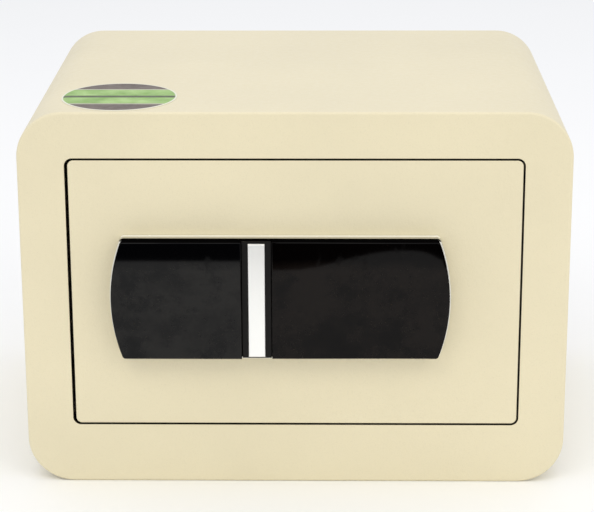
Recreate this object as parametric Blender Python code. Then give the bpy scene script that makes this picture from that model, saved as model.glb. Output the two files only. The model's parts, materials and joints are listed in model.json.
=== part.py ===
"""In-room safe: a rounded steel box, a flush hinged door, a raised control panel and motor-driven bolts.

The script works in metres. X runs to the right, Y to the back and Z up. The safe stands on z = 0, and its
door is on the side towards -Y. The door hangs on the left, and the bolts throw to the right.
"""

import math

import bmesh
import bpy
from mathutils import Matrix, Vector
from mathutils.geometry import tessellate_polygon

MM = 0.001
SEAM = 0.25 * MM  # between pieces that are welded, glued or screwed together
RUNNING = 0.4 * MM  # between pieces that slide or turn
CUT_BEYOND = 2 * MM  # how far a cutter reaches past each face of the wall it cuts
PLATE_CORNER = 1.5 * MM  # on boards, brackets and other flat stampings
SMALL_CORNER = 0.8 * MM  # on small boxes
BOARD_THICK = 1.6 * MM

# Body
BODY_WIDTH = 350 * MM
BODY_HEIGHT = 250 * MM
BODY_DEPTH = 250 * MM
BODY_CORNER = 30 * MM
BODY_STEPS = 12
BODY_WALL = 3 * MM
PANEL_REACH = 14 * MM  # how far the control panel stands in front of the door
FRONT = -(BODY_DEPTH + PANEL_REACH) / 2
FACE = FRONT + PANEL_REACH
BACK = FACE + BODY_DEPTH
FRAME_THICK = 4 * MM
BEHIND_FRAME = FACE + FRAME_THICK
FRAME_EDGE = 1.6 * MM
ANCHOR_HOLE = 4.5 * MM
ANCHOR_X = 90 * MM
ANCHOR_Z = BODY_HEIGHT / 2
ANCHOR_LIP = 3 * MM
ANCHOR_LIP_THICK = 1.6 * MM
ANCHOR_RECESS = 0.5 * MM

# Doorway and jamb
OPENING_WIDTH = 290 * MM
OPENING_HEIGHT = 180 * MM
OPENING_Z = 130 * MM
OPENING_CORNER = 5 * MM
JAMB_WALL = 3 * MM
JAMB_LEDGE = 2 * MM  # how far the jamb's inner faces stand back from the doorway
JAMB_CORNER = 0.5 * MM
JAMB_BACK = FACE + 34 * MM
JAMB_BOLT_PLAY = 0.8 * MM

# Mat on the floor inside
MAT_SIDE = 2 * MM
MAT_END = 4 * MM
MAT_CORNER = 6 * MM
MAT_THICK = 2 * MM

# Door
DOOR_THICK = 4 * MM
DOOR_GAP = 1.2 * MM
HINGE_GAP = 2 * MM
DOOR_LEFT = -OPENING_WIDTH / 2 + HINGE_GAP
DOOR_RIGHT = OPENING_WIDTH / 2 - DOOR_GAP
DOOR_BOTTOM = OPENING_Z - OPENING_HEIGHT / 2 + DOOR_GAP
DOOR_TOP = OPENING_Z + OPENING_HEIGHT / 2 - DOOR_GAP
DOOR_BEHIND = FACE + DOOR_THICK
DOOR_EDGE = 0.7 * MM

# Hinge: pins at the top and bottom, just behind the door plate
HINGE_X = DOOR_LEFT + 13 * MM
HINGE_Y = FACE + 7 * MM
PIN_RADIUS = 2 * MM
PIN_PLAY = 0.3 * MM
PIN_BEYOND = 0.5 * MM
LUG_HEIGHT = 14 * MM
LUG_DROP = 0.8 * MM  # from the edge of the door to the lug
LUG_LEFT = HINGE_X - 7 * MM
LUG_RIGHT = HINGE_X + 12 * MM
LUG_BACK = HINGE_Y + 5 * MM
LUG_CORNER = 0.6 * MM
BRACKET_THICK = 2.5 * MM
BRACKET_BACK = HINGE_Y + 14 * MM
BRACKET_CORNER = 2 * MM

# Hole through the door for the ribbon cable
CABLE_X = 10 * MM
CABLE_WIDTH = 20 * MM
CABLE_HEIGHT = 8 * MM
CABLE_CORNER = 3 * MM
PASSAGE_WIDTH = 14 * MM
PASSAGE_HEIGHT = 3.6 * MM
PASSAGE_CORNER = 1 * MM
GROMMET_BACK = DOOR_BEHIND + 1 * MM

# Door tray, the box on the back of the door that holds the boltwork
TRAY_LEFT = -112 * MM
TRAY_RIGHT = 132 * MM
TRAY_BOTTOM = 52 * MM
TRAY_TOP = 208 * MM
TRAY_WALL = 1.5 * MM
TRAY_BACK = FACE + 31 * MM
TRAY_CORNER = 3 * MM
TRAY_BOLT_PLAY = 1.6 * MM
COVER_THICK = 1.2 * MM
PILLAR_RADIUS = 3.5 * MM
PILLAR_INSET = 8 * MM
PILLAR_BORE_END = TRAY_BACK - 14 * MM
SCREW_RADIUS = 1.4 * MM
SCREW_END = PILLAR_BORE_END + 1 * MM
SCREW_HEAD = 3.2 * MM
SCREW_RIM = 1.2 * MM
SCREW_DOME = 0.7 * MM
SCREW_DOME_SHARE = 0.7

# Boltwork
BOLT_RADIUS = 7 * MM
BOLT_Y = FACE + 18 * MM
BOLT_OFFSET = 50 * MM
BOLT_TIP = 134.5 * MM
CARRIAGE_X = 98 * MM
CARRIAGE_THICK = 4 * MM
CARRIAGE_HEIGHT = 128 * MM
CARRIAGE_DEPTH = 14 * MM
BOLT_CHAMFER = 1 * MM
BUSH_PLAY = 0.3 * MM
BUSH_WALL = 1 * MM
BUSH_FLANGE = 2 * MM
BUSH_BEYOND = 0.8 * MM

# Rack and pinion
MODULE = 1 * MM
PINION_TEETH = 12
PRESSURE = math.radians(25)
PITCH_RADIUS = MODULE * PINION_TEETH / 2
ADDENDUM = MODULE
DEDENDUM = 1.3 * MODULE
TOOTH_PLAY = 0.2 * MM  # taken off each tooth, so that the pair runs free
MESH_PLAY = 0.2 * MM  # added to the distance between centres
PINION_X = 76 * MM
PITCH_LINE_Y = FACE + 16 * MM
PINION_Y = PITCH_LINE_Y + PITCH_RADIUS + MESH_PLAY
RACK_LEFT = 56 * MM
RACK_TEETH = 11
RACK_THICK = 8 * MM
RACK_BACKING = 4 * MM
RACK_OVERLAP = 1 * MM  # into the carriage
RACK_Z = OPENING_Z
PINION_STEP = 0.6 * MM  # how much less of the height each end of the pinion takes than the rack
PINION_BORE = 1.7 * MM
INVOLUTE_STEPS = 4
ROOT_TURN = math.radians(1)

# Gearbox, motor, its bracket and the guide of the rack
SHAFT_RADIUS = 1.4 * MM
SHAFT_BEYOND = 1 * MM
GEARBOX_GAP = 2.6 * MM
GEARBOX_WIDTH = 12 * MM
GEARBOX_DEPTH = 10 * MM
GEARBOX_HEIGHT = 9 * MM
MOTOR_RADIUS = 5 * MM
MOTOR_LENGTH = 16 * MM
BRACKET_WIDTH = 18 * MM
BRACKET_RISE = 0.5 * MM
BRACKET_LENGTH = 22.75 * MM
GUIDE_LEFT = RACK_LEFT - 6 * MM
GUIDE_RIGHT = PINION_X - 12 * MM
GUIDE_WALL = 2 * MM
GUIDE_LIP = 1 * MM

# Control panel
PANEL_CENTRE_X = -9.2 * MM
PANEL_WIDTH = 215 * MM
PANEL_HEIGHT = 78 * MM
PANEL_Z = OPENING_Z
PANEL_ARC = 112 * MM
PANEL_RIM = 0.8 * MM
PANEL_CORNER = 2.2 * MM  # where the end arcs meet the straight edges
ARC_TURN = math.radians(30)  # a corner that turns by more than this and less than a square one is rounded
SQUARE_TURN = math.radians(85)
BASE_FRONT = FACE - 10 * MM
BASE_EDGE = 0.5 * MM
LENS_FRONT = FRONT + 0.8 * MM
LENS_EDGE = 0.6 * MM
SPINE_LEFT = -33.4 * MM
SPINE_RIGHT = -14.8 * MM
SPINE_FRONT = BASE_FRONT - 1.4 * MM
BAR_LEFT = -29.4 * MM
BAR_RIGHT = -18.8 * MM
BAR_HEIGHT = 75.5 * MM
BAR_EDGE = 0.9 * MM
BAR_FRONT = FRONT + 0.4 * MM
BAY_LEFT = -96 * MM
BAY_RIGHT = -54 * MM
BAY_BOTTOM = 96 * MM
BAY_TOP = 126 * MM
BAY_CORNER = 3 * MM
SLOT_XS = (-102 * MM, -48 * MM)
SLOT_WIDTH = 3.4 * MM
SLOT_CORNER = 1 * MM
SLOT_BOTTOM = PANEL_Z - PANEL_HEIGHT / 2 + 7 * MM
RIB_HEIGHT = 20 * MM
RIB_ROOT = 1 * MM
RIB_BEYOND = 6 * MM
COVER_TRAVEL = 40 * MM
POCKET_LEFT = -8 * MM
POCKET_RIGHT = 84 * MM
POCKET_HEIGHT = 66 * MM
POCKET_CORNER = 3 * MM
KEYPAD_MARGIN = 1 * MM
KEYPAD_CORNER = 1 * MM
KEYPAD_FRONT = BASE_FRONT + 0.5 * MM

# Emergency lock and power socket, in the bay behind the sliding cover
KEY_X = -66 * MM
KEY_Z = 111 * MM
CYLINDER_RADIUS = 9 * MM
CYLINDER_FRONT = BASE_FRONT + 2 * MM
CYLINDER_BACK = FACE + 19 * MM
NUT_RADIUS = CYLINDER_RADIUS + 4.5 * MM
NUT_THICK = 4 * MM
PLUG_RADIUS = 5 * MM
PLUG_PLAY = 0.3 * MM
PLUG_PROUD = 0.3 * MM
PLUG_BACK = CYLINDER_BACK + 2 * MM
PLUG_EDGE = 0.4 * MM
KEYWAY_WIDTH = 2 * MM
KEYWAY_HEIGHT = 7 * MM
KEYWAY_DEPTH = 16 * MM
CAM_HUB = 6 * MM
CAM_TIP = 3 * MM
CAM_REACH = 13 * MM
CAM_THICK = 2 * MM
OVERRIDE_LEFT = KEY_X + 18 * MM
OVERRIDE_WIDTH = 6 * MM
OVERRIDE_DEPTH = 7 * MM
OVERRIDE_HEIGHT = 20 * MM
OVERRIDE_LEAD = 3 * MM  # in front of the cam
SOCKET_X = -87 * MM
SOCKET_RADIUS = 4 * MM
SOCKET_BACK = FACE + 12 * MM
SOCKET_BORE = 2.6 * MM
SOCKET_DEPTH = 6 * MM
SOCKET_PASSAGE = 1 * MM

# Control board and ribbon cable
BOARD_LEFT = -30 * MM
BOARD_RIGHT = 48 * MM
BOARD_BOTTOM = 62 * MM
BOARD_TOP = 116 * MM
BOARD_FRONT = FACE + 10 * MM
RIBBON_FRONT = BASE_FRONT + 2.6 * MM
RIBBON_BEND = DOOR_BEHIND + 4 * MM
RIBBON_WIDTH = 12 * MM
RIBBON_THICK = 1 * MM
RIBBON_END_Z = 112 * MM

# Battery box
BOX_LEFT = -30 * MM
BOX_RIGHT = 27 * MM
BOX_BOTTOM = 138 * MM
BOX_TOP = 202 * MM
BOX_MIDDLE_Z = (BOX_BOTTOM + BOX_TOP) / 2
BOX_WALL = 1.5 * MM
BOX_DEPTH = 16.5 * MM
BOX_CORNER = 1 * MM
BOX_HOLE_INSET = 2 * MM
BOX_HOLE_CORNER = 2 * MM
CELL_RADIUS = 7.1 * MM
CELL_LENGTH = 49.5 * MM
CELL_SHOULDER = 1 * MM
CELL_SHOULDER_LENGTH = 0.6 * MM
CELL_PITCH = 15 * MM
CELL_COUNT = 4
CELL_CLEAR = 0.5 * MM
CELL_END_CLEAR = 1.2 * MM
NIB_RADIUS = 2.6 * MM
NIB_LENGTH = 1.5 * MM
CONTACT_CLEAR = 0.3 * MM
CONTACT_THICK = 0.5 * MM
CONTACT_FRONT_MARGIN = 1 * MM
CONTACT_BACK_MARGIN = 2 * MM
CONTACT_END_MARGIN = 3 * MM
CELL_COVER_SIDE = 3 * MM
CELL_COVER_END = 2 * MM
CELL_COVER_THICK = 1.8 * MM
CELL_COVER_CORNER = 3 * MM
CELL_COVER_EDGE = 0.5 * MM

# Reset button
BUTTON_X = -80 * MM
BUTTON_Z = 180 * MM
BUTTON_RADIUS = 2.8 * MM
BUTTON_FRONT = TRAY_BACK - 5 * MM
BUTTON_PROUD = 1.5 * MM  # behind the front face of the battery cover
BUTTON_EDGE = 0.4 * MM
BUTTON_TRAVEL = 2.2 * MM
RESET_SIZE = 10 * MM
RESET_DEPTH = 5 * MM

# Badge on the top
BADGE_X = -113 * MM
BADGE_Y = FACE + 40 * MM
BADGE_RADIUS = 37 * MM
BADGE_GLUE = 0.05 * MM
BADGE_THICK = 0.35 * MM

# Points to a curve
ROUND_STEPS = 32
HOLE_STEPS = 24
SMALL_HOLE_STEPS = 16
BADGE_STEPS = 64
NUT_SIDES = 6
CORNER_STEPS = 8
SMALL_CORNER_STEPS = 4
TINY_CORNER_STEPS = 2
ARC_STEPS = 12
EDGE_STEPS = 3
SMOOTH_ANGLE = math.radians(35)

PAINTS = {
    "powder_coat": ((0.80, 0.73, 0.53, 1), 0.0, 0.55),
    "steel": ((0.56, 0.57, 0.58, 1), 1.0, 0.35),
    "zinc": ((0.62, 0.60, 0.52, 1), 1.0, 0.30),
    "brass": ((0.72, 0.53, 0.24, 1), 1.0, 0.30),
    "black_gloss": ((0.008, 0.008, 0.008, 1), 0.0, 0.05),
    "black_plastic": ((0.02, 0.02, 0.02, 1), 0.0, 0.45),
    "white_plastic": ((0.75, 0.75, 0.72, 1), 0.0, 0.40),
    "satin_metal": ((0.85, 0.86, 0.85, 1), 1.0, 0.25),
    "board_green": ((0.02, 0.16, 0.07, 1), 0.0, 0.40),
    "felt": ((0.05, 0.05, 0.055, 1), 0.0, 0.95),
    "rubber": ((0.03, 0.03, 0.03, 1), 0.0, 0.80),
    "cell_wrap": ((0.05, 0.12, 0.28, 1), 0.3, 0.35),
    "badge_green": ((0.35, 0.55, 0.20, 1), 0.0, 0.30),
}


# ---------------------------------------------------------------- set-up


def clear_scene():
    for obj in list(bpy.data.objects):
        bpy.data.objects.remove(obj, do_unlink=True)


def make_materials():
    made = {}
    for name, (colour, metallic, roughness) in PAINTS.items():
        material = bpy.data.materials.new(name)
        material.use_nodes = True
        shader = material.node_tree.nodes["Principled BSDF"]
        shader.inputs["Base Color"].default_value = colour
        shader.inputs["Metallic"].default_value = metallic
        shader.inputs["Roughness"].default_value = roughness
        material.diffuse_color = colour
        made[name] = material
    return made


# ---------------------------------------------------------------- outlines


def rectangle(left, right, bottom, top, corner=0.0, steps=CORNER_STEPS):
    """A counter-clockwise outline, with its corners rounded if a corner radius is given."""
    if corner <= 0:
        return [(left, bottom), (right, bottom), (right, top), (left, top)]
    points = []
    centres = (
        (right - corner, bottom + corner, -90),
        (right - corner, top - corner, 0),
        (left + corner, top - corner, 90),
        (left + corner, bottom + corner, 180),
    )
    for x, z, start in centres:
        for step in range(steps + 1):
            angle = math.radians(start + 90 * step / steps)
            points.append((x + corner * math.cos(angle), z + corner * math.sin(angle)))
    return points


def circle(x, z, radius, steps=ROUND_STEPS):
    return arc(x, z, radius, [2 * math.pi * step / steps for step in range(steps)])


def centred(x, z, width, height, corner=0.0, steps=SMALL_CORNER_STEPS):
    """A rectangle round a centre."""
    return rectangle(x - width / 2, x + width / 2, z - height / 2, z + height / 2, corner, steps)


def half_turn(start):
    return [math.radians(start + 180 * step / ARC_STEPS) for step in range(ARC_STEPS + 1)]


def arc_end(reach, half_height, side):
    """The bulging end of the panel, upwards on the right (side 1) and downwards on the left (side -1)."""
    half_angle = math.asin(half_height / PANEL_ARC)
    points = []
    for step in range(ARC_STEPS + 1):
        angle = -half_angle + 2 * half_angle * step / ARC_STEPS
        x = reach - PANEL_ARC * (1 - math.cos(angle))
        points.append((PANEL_CENTRE_X + side * x, PANEL_Z + side * PANEL_ARC * math.sin(angle)))
    return points


def arc(x, z, radius, turns):
    return [(x + radius * math.cos(turn), z + radius * math.sin(turn)) for turn in turns]


def softened(outline, radius):
    """Rounds the corners of a counter-clockwise outline where an arc meets a straight edge."""
    points = []
    for index, point in enumerate(outline):
        here = Vector(point)
        before = (here - Vector(outline[index - 1])).normalized()
        after = (Vector(outline[(index + 1) % len(outline)]) - here).normalized()
        turn = math.atan2(before.cross(after), before.dot(after))
        if not ARC_TURN < turn < SQUARE_TURN:
            points.append(point)
            continue
        start = here - before * radius * math.tan(turn / 2)
        centre = start + Vector((-before.y, before.x)) * radius
        for step in range(SMALL_CORNER_STEPS + 1):
            spoke = Matrix.Rotation(turn * step / SMALL_CORNER_STEPS, 2) @ (start - centre)
            points.append(tuple(centre + spoke))
    return points


def panel_outline(extra):
    """The whole panel, grown by an amount all round."""
    reach = PANEL_WIDTH / 2 + extra
    half_height = PANEL_HEIGHT / 2 + extra
    outline = arc_end(reach, half_height, 1) + arc_end(reach, half_height, -1)
    return softened(outline, PANEL_CORNER + extra)


def left_panel_outline(gap):
    """The left part of the panel: straight towards the spine, an arc at the far end."""
    bottom = PANEL_Z - PANEL_HEIGHT / 2
    top = PANEL_Z + PANEL_HEIGHT / 2
    arc = arc_end(PANEL_WIDTH / 2, PANEL_HEIGHT / 2, -1)
    inner_end = [(SPINE_LEFT - gap, bottom), (SPINE_LEFT - gap, top)]
    return softened(inner_end + arc, PANEL_CORNER)


def right_panel_outline(gap):
    """The right part of the panel: straight towards the spine, an arc at the far end."""
    bottom = PANEL_Z - PANEL_HEIGHT / 2
    top = PANEL_Z + PANEL_HEIGHT / 2
    arc = arc_end(PANEL_WIDTH / 2, PANEL_HEIGHT / 2, 1)
    inner_end = [(SPINE_RIGHT + gap, top), (SPINE_RIGHT + gap, bottom)]
    return softened(inner_end + arc, PANEL_CORNER)


def inset(outline, amount):
    """Moves every point of a counter-clockwise outline inwards along the bisector of its corner."""
    moved = []
    for index, point in enumerate(outline):
        here = Vector(point)
        before = (here - Vector(outline[index - 1])).normalized()
        after = (Vector(outline[(index + 1) % len(outline)]) - here).normalized()
        normal_before = Vector((-before.y, before.x))
        normal_after = Vector((-after.y, after.x))
        step = (normal_before + normal_after) / (1 + normal_before.dot(normal_after))
        moved.append(tuple(here + step * amount))
    return moved


# ---------------------------------------------------------------- solids


def placed(axis, flat, along):
    """A point of an outline put in space: the outline lies across the axis it is extruded on."""
    a, b = flat
    return {"X": (along, a, b), "Y": (a, along, b), "Z": (a, b, along)}[axis]


def finish_mesh(name, mesh_data, material, origin):
    bmesh.ops.recalc_face_normals(mesh_data, faces=mesh_data.faces)
    bmesh.ops.translate(mesh_data, verts=mesh_data.verts, vec=-Vector(origin))
    mesh = bpy.data.meshes.new(name)
    mesh_data.to_mesh(mesh)
    mesh_data.free()
    mesh.shade_smooth()
    mesh.set_sharp_from_angle(angle=SMOOTH_ANGLE)
    mesh.materials.append(material)
    obj = bpy.data.objects.new(name, mesh)
    obj.location = origin
    bpy.context.scene.collection.objects.link(obj)
    return obj


def add_loop(mesh_data, axis, outline, along):
    return [mesh_data.verts.new(placed(axis, point, along)) for point in outline]


def join_loops(mesh_data, first, second):
    for index in range(len(first)):
        after = (index + 1) % len(first)
        mesh_data.faces.new((first[index], first[after], second[after], second[index]))


def cap_loops(mesh_data, loops):
    """Closes a flat end, leaving its holes open."""
    corners = [vert for loop in loops for vert in loop]
    for triangle in tessellate_polygon([[vert.co for vert in loop] for loop in loops]):
        mesh_data.faces.new([corners[index] for index in triangle])


def edge_sections(end, radius, inwards):
    """The rounded edge at one end of a prism, as (inset, place) pairs from the end face to the side."""
    if not radius:
        return [(0.0, end)]
    sections = []
    for step in range(EDGE_STEPS + 1):
        turn = math.pi / 2 * step / EDGE_STEPS
        sections.append((radius * (1 - math.sin(turn)), end + inwards * radius * (1 - math.cos(turn))))
    return sections


def prism(
    name,
    material,
    axis,
    near,
    far,
    outline,
    holes=(),
    near_edge=0.0,
    far_edge=0.0,
    origin=(0, 0, 0),
):
    """An outline with holes, extruded along an axis, with either outer edge rounded."""
    sections = edge_sections(near, near_edge, 1) + edge_sections(far, far_edge, -1)[::-1]
    mesh_data = bmesh.new()
    outer = [
        add_loop(mesh_data, axis, inset(outline, amount) if amount else outline, along)
        for amount, along in sections
    ]
    for first, second in zip(outer, outer[1:]):
        join_loops(mesh_data, first, second)
    near_holes = [add_loop(mesh_data, axis, hole, near) for hole in holes]
    far_holes = [add_loop(mesh_data, axis, hole, far) for hole in holes]
    for first, second in zip(near_holes, far_holes):
        join_loops(mesh_data, first, second)
    cap_loops(mesh_data, [outer[0]] + near_holes)
    cap_loops(mesh_data, [outer[-1]] + far_holes)
    return finish_mesh(name, mesh_data, material, origin)


def box(name, material, low, high, corner=0.0, axis="Y", origin=(0, 0, 0)):
    """A block between two opposite corners, with the edges along one axis rounded."""
    first, second, along = {"X": (1, 2, 0), "Y": (0, 2, 1), "Z": (0, 1, 2)}[axis]
    outline = rectangle(low[first], high[first], low[second], high[second], corner, SMALL_CORNER_STEPS)
    return prism(name, material, axis, low[along], high[along], outline, origin=origin)


def turned(name, material, axis, centre, profile, steps=ROUND_STEPS, origin=(0, 0, 0)):
    """A solid of revolution from (radius, place on the axis) pairs, or a ring if the last is the first."""
    mesh_data = bmesh.new()
    ring = profile[0] == profile[-1]
    pairs = profile[:-1] if ring else profile
    loops = [add_loop(mesh_data, axis, circle(*centre, radius, steps), along) for radius, along in pairs]
    for first, second in zip(loops, loops[1:]):
        join_loops(mesh_data, first, second)
    if ring:
        join_loops(mesh_data, loops[-1], loops[0])
    else:
        cap_loops(mesh_data, [loops[0]])
        cap_loops(mesh_data, [loops[-1]])
    return finish_mesh(name, mesh_data, material, origin)


def combine(target, tool, operation):
    """Cuts a tool out of a piece, or adds it on."""
    tool.hide_render = True
    tool.display_type = "WIRE"
    change = target.modifiers.new(f"{operation.lower()}_{tool.name}", "BOOLEAN")
    change.operation = operation
    change.solver = "EXACT"
    change.object = tool


# ---------------------------------------------------------------- body


def body_outline():
    return rectangle(-BODY_WIDTH / 2, BODY_WIDTH / 2, 0, BODY_HEIGHT, BODY_CORNER, BODY_STEPS)


def build_body(paint):
    """The front frame, the wrap, the back wall and the rubber plugs in its anchor holes."""
    outer = body_outline()
    inner = inset(outer, BODY_WALL)
    fitted = inset(outer, BODY_WALL + SEAM)
    opening = rectangle(
        -OPENING_WIDTH / 2,
        OPENING_WIDTH / 2,
        OPENING_Z - OPENING_HEIGHT / 2,
        OPENING_Z + OPENING_HEIGHT / 2,
        OPENING_CORNER,
    )
    prism(
        "front_frame", paint["powder_coat"], "Y", FACE, BEHIND_FRAME, outer, [opening], near_edge=FRAME_EDGE
    )
    prism("body_wrap", paint["powder_coat"], "Y", BEHIND_FRAME + SEAM, BACK, outer, [inner])
    anchors = [circle(side * ANCHOR_X, ANCHOR_Z, ANCHOR_HOLE) for side in (-1, 1)]
    prism("back_wall", paint["powder_coat"], "Y", BACK - BODY_WALL, BACK, fitted, anchors)
    for side, word in ((-1, "left"), (1, "right")):
        inside = BACK - BODY_WALL - SEAM
        stem = ANCHOR_HOLE - SEAM
        lip = ANCHOR_HOLE + ANCHOR_LIP
        profile = [
            (lip, inside - ANCHOR_LIP_THICK),
            (lip, inside),
            (stem, inside),
            (stem, BACK - ANCHOR_RECESS),
        ]
        turned(f"anchor_plug_{word}", paint["rubber"], "Y", (side * ANCHOR_X, ANCHOR_Z), profile)


def build_jamb(paint):
    """The deep frame behind the doorway, with the bolt holes, and the brackets and pins of the hinge."""
    left = -OPENING_WIDTH / 2 - JAMB_LEDGE
    right = OPENING_WIDTH / 2 + JAMB_LEDGE
    bottom = OPENING_Z - OPENING_HEIGHT / 2 - JAMB_LEDGE
    top = OPENING_Z + OPENING_HEIGHT / 2 + JAMB_LEDGE
    hole = rectangle(left, right, bottom, top, JAMB_CORNER, SMALL_CORNER_STEPS)
    outer = inset(hole, -JAMB_WALL)
    front = BEHIND_FRAME + SEAM
    jamb = prism("door_jamb", paint["powder_coat"], "Y", front, JAMB_BACK, outer, [hole])
    cut_bolt_holes(paint, jamb, right, right + JAMB_WALL, JAMB_BOLT_PLAY)
    leaf = rectangle(left + SEAM, LUG_RIGHT, front, BRACKET_BACK, BRACKET_CORNER, SMALL_CORNER_STEPS)
    pin_hole = circle(HINGE_X, HINGE_Y, PIN_RADIUS + SEAM, HOLE_STEPS)
    pin = circle(HINGE_X, HINGE_Y, PIN_RADIUS, HOLE_STEPS)
    for side, word, wall_face, door_edge in (
        (-1, "bottom", bottom, DOOR_BOTTOM),
        (1, "top", top, DOOR_TOP),
    ):
        near_wall = wall_face - side * SEAM
        faces = sorted((near_wall, near_wall - side * BRACKET_THICK))
        prism(f"hinge_bracket_{word}", paint["steel"], "Z", *faces, leaf, [pin_hole])
        ends = sorted((near_wall, door_edge - side * (LUG_HEIGHT + PIN_BEYOND)))
        prism(f"hinge_pin_{word}", paint["steel"], "Z", *ends, pin)


def cut_bolt_holes(paint, target, near, far, play):
    """Two holes through a wall on the right, one for each bolt."""
    for side in (-1, 1):
        outline = circle(BOLT_Y, OPENING_Z + side * BOLT_OFFSET, BOLT_RADIUS + play)
        ends = (near - CUT_BEYOND, far + CUT_BEYOND)
        tool = prism(f"{target.name}_cutter_{side}", paint["steel"], "X", *ends, outline)
        combine(target, tool, "DIFFERENCE")


def build_mat(paint):
    half_width = BODY_WIDTH / 2 - BODY_CORNER - MAT_SIDE
    ends = (JAMB_BACK + MAT_END, BACK - BODY_WALL - MAT_END)
    outline = rectangle(-half_width, half_width, *ends, MAT_CORNER)
    bottom = BODY_WALL + SEAM
    prism("floor_mat", paint["felt"], "Z", bottom, bottom + MAT_THICK, outline)


def build_badge(paint):
    """A round film on the top, whose outer edge follows the rounded corner of the wrap."""
    outline = circle(BADGE_X, BADGE_Y, BADGE_RADIUS, BADGE_STEPS)
    ends = (FACE - BODY_CORNER, BACK + BODY_CORNER)
    low, high = BODY_HEIGHT - BODY_CORNER, BODY_HEIGHT + BODY_CORNER
    badge = prism("badge", paint["badge_green"], "Z", low, high, outline)
    for word, rise, operation in (
        ("above", BADGE_GLUE + BADGE_THICK, "INTERSECT"),
        ("below", BADGE_GLUE, "DIFFERENCE"),
    ):
        surface = inset(body_outline(), -rise)
        tool = prism(f"badge_{word}", paint["badge_green"], "Y", *ends, surface)
        combine(badge, tool, operation)


# ---------------------------------------------------------------- door


def build_door(paint):
    """The door plate, the grommet of the cable and the lugs of the hinge."""
    outline = rectangle(DOOR_LEFT, DOOR_RIGHT, DOOR_BOTTOM, DOOR_TOP, OPENING_CORNER - DOOR_GAP)
    cable_hole = centred(CABLE_X, PANEL_Z, CABLE_WIDTH, CABLE_HEIGHT, CABLE_CORNER)
    holes = [
        circle(KEY_X, KEY_Z, CYLINDER_RADIUS + SEAM),
        circle(SOCKET_X, KEY_Z, SOCKET_RADIUS + SEAM),
        cable_hole,
    ]
    axis_point = (HINGE_X, HINGE_Y, OPENING_Z)
    prism(
        "door_plate",
        paint["powder_coat"],
        "Y",
        FACE,
        DOOR_BEHIND,
        outline,
        holes,
        near_edge=DOOR_EDGE,
        origin=axis_point,
    )
    grommet = inset(cable_hole, SEAM)
    passage = centred(CABLE_X, PANEL_Z, PASSAGE_WIDTH, PASSAGE_HEIGHT, PASSAGE_CORNER)
    prism("cable_grommet", paint["rubber"], "Y", FACE, GROMMET_BACK, grommet, [passage])
    leaf = rectangle(LUG_LEFT, LUG_RIGHT, DOOR_BEHIND + SEAM, LUG_BACK, LUG_CORNER, TINY_CORNER_STEPS)
    pin_hole = circle(HINGE_X, HINGE_Y, PIN_RADIUS + PIN_PLAY, HOLE_STEPS)
    for side, word, door_edge in ((-1, "bottom", DOOR_BOTTOM), (1, "top", DOOR_TOP)):
        ends = sorted((door_edge - side * LUG_DROP, door_edge - side * LUG_HEIGHT))
        prism(f"hinge_lug_{word}", paint["steel"], "Z", *ends, leaf, [pin_hole])


def build_tray(paint):
    """The tray on the back of the door, its cover, and the pillars and screws that hold the cover."""
    outer = rectangle(TRAY_LEFT, TRAY_RIGHT, TRAY_BOTTOM, TRAY_TOP, TRAY_CORNER, SMALL_CORNER_STEPS)
    tray = prism(
        "door_tray",
        paint["powder_coat"],
        "Y",
        DOOR_BEHIND + SEAM,
        TRAY_BACK,
        outer,
        [inset(outer, TRAY_WALL)],
    )
    cut_bolt_holes(paint, tray, TRAY_RIGHT - TRAY_WALL, TRAY_RIGHT, TRAY_BOLT_PLAY)
    centres = [
        (x, z)
        for z in (TRAY_BOTTOM + PILLAR_INSET, TRAY_TOP - PILLAR_INSET)
        for x in (TRAY_LEFT + PILLAR_INSET, TRAY_RIGHT - PILLAR_INSET)
    ]
    bore = SCREW_RADIUS + SEAM
    screw_holes = [circle(*centre, bore, SMALL_HOLE_STEPS) for centre in centres]
    box_mouth = rectangle(
        BOX_LEFT + BOX_HOLE_INSET,
        BOX_RIGHT - BOX_HOLE_INSET,
        BOX_BOTTOM + BOX_HOLE_INSET,
        BOX_TOP - BOX_HOLE_INSET,
        BOX_HOLE_CORNER,
        SMALL_CORNER_STEPS,
    )
    button_hole = circle(BUTTON_X, BUTTON_Z, BUTTON_RADIUS + RUNNING, HOLE_STEPS)
    cover_front = TRAY_BACK + SEAM
    cover_back = cover_front + COVER_THICK
    prism(
        "door_cover",
        paint["powder_coat"],
        "Y",
        cover_front,
        cover_back,
        outer,
        screw_holes + [box_mouth, button_hole],
    )
    pillar = [
        (PILLAR_RADIUS, DOOR_BEHIND + SEAM),
        (PILLAR_RADIUS, TRAY_BACK),
        (bore, TRAY_BACK),
        (bore, PILLAR_BORE_END),
    ]
    head = cover_back + SEAM
    screw = [
        (SCREW_RADIUS, SCREW_END),
        (SCREW_RADIUS, head),
        (SCREW_HEAD, head),
        (SCREW_HEAD, head + SCREW_RIM),
        (SCREW_HEAD * SCREW_DOME_SHARE, head + SCREW_RIM + SCREW_DOME),
    ]
    for index, centre in enumerate(centres, 1):
        turned(f"cover_pillar_{index}", paint["zinc"], "Y", centre, pillar, SMALL_HOLE_STEPS)
        turned(f"cover_screw_{index}", paint["zinc"], "Y", centre, screw, SMALL_HOLE_STEPS)


# ---------------------------------------------------------------- boltwork


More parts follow.
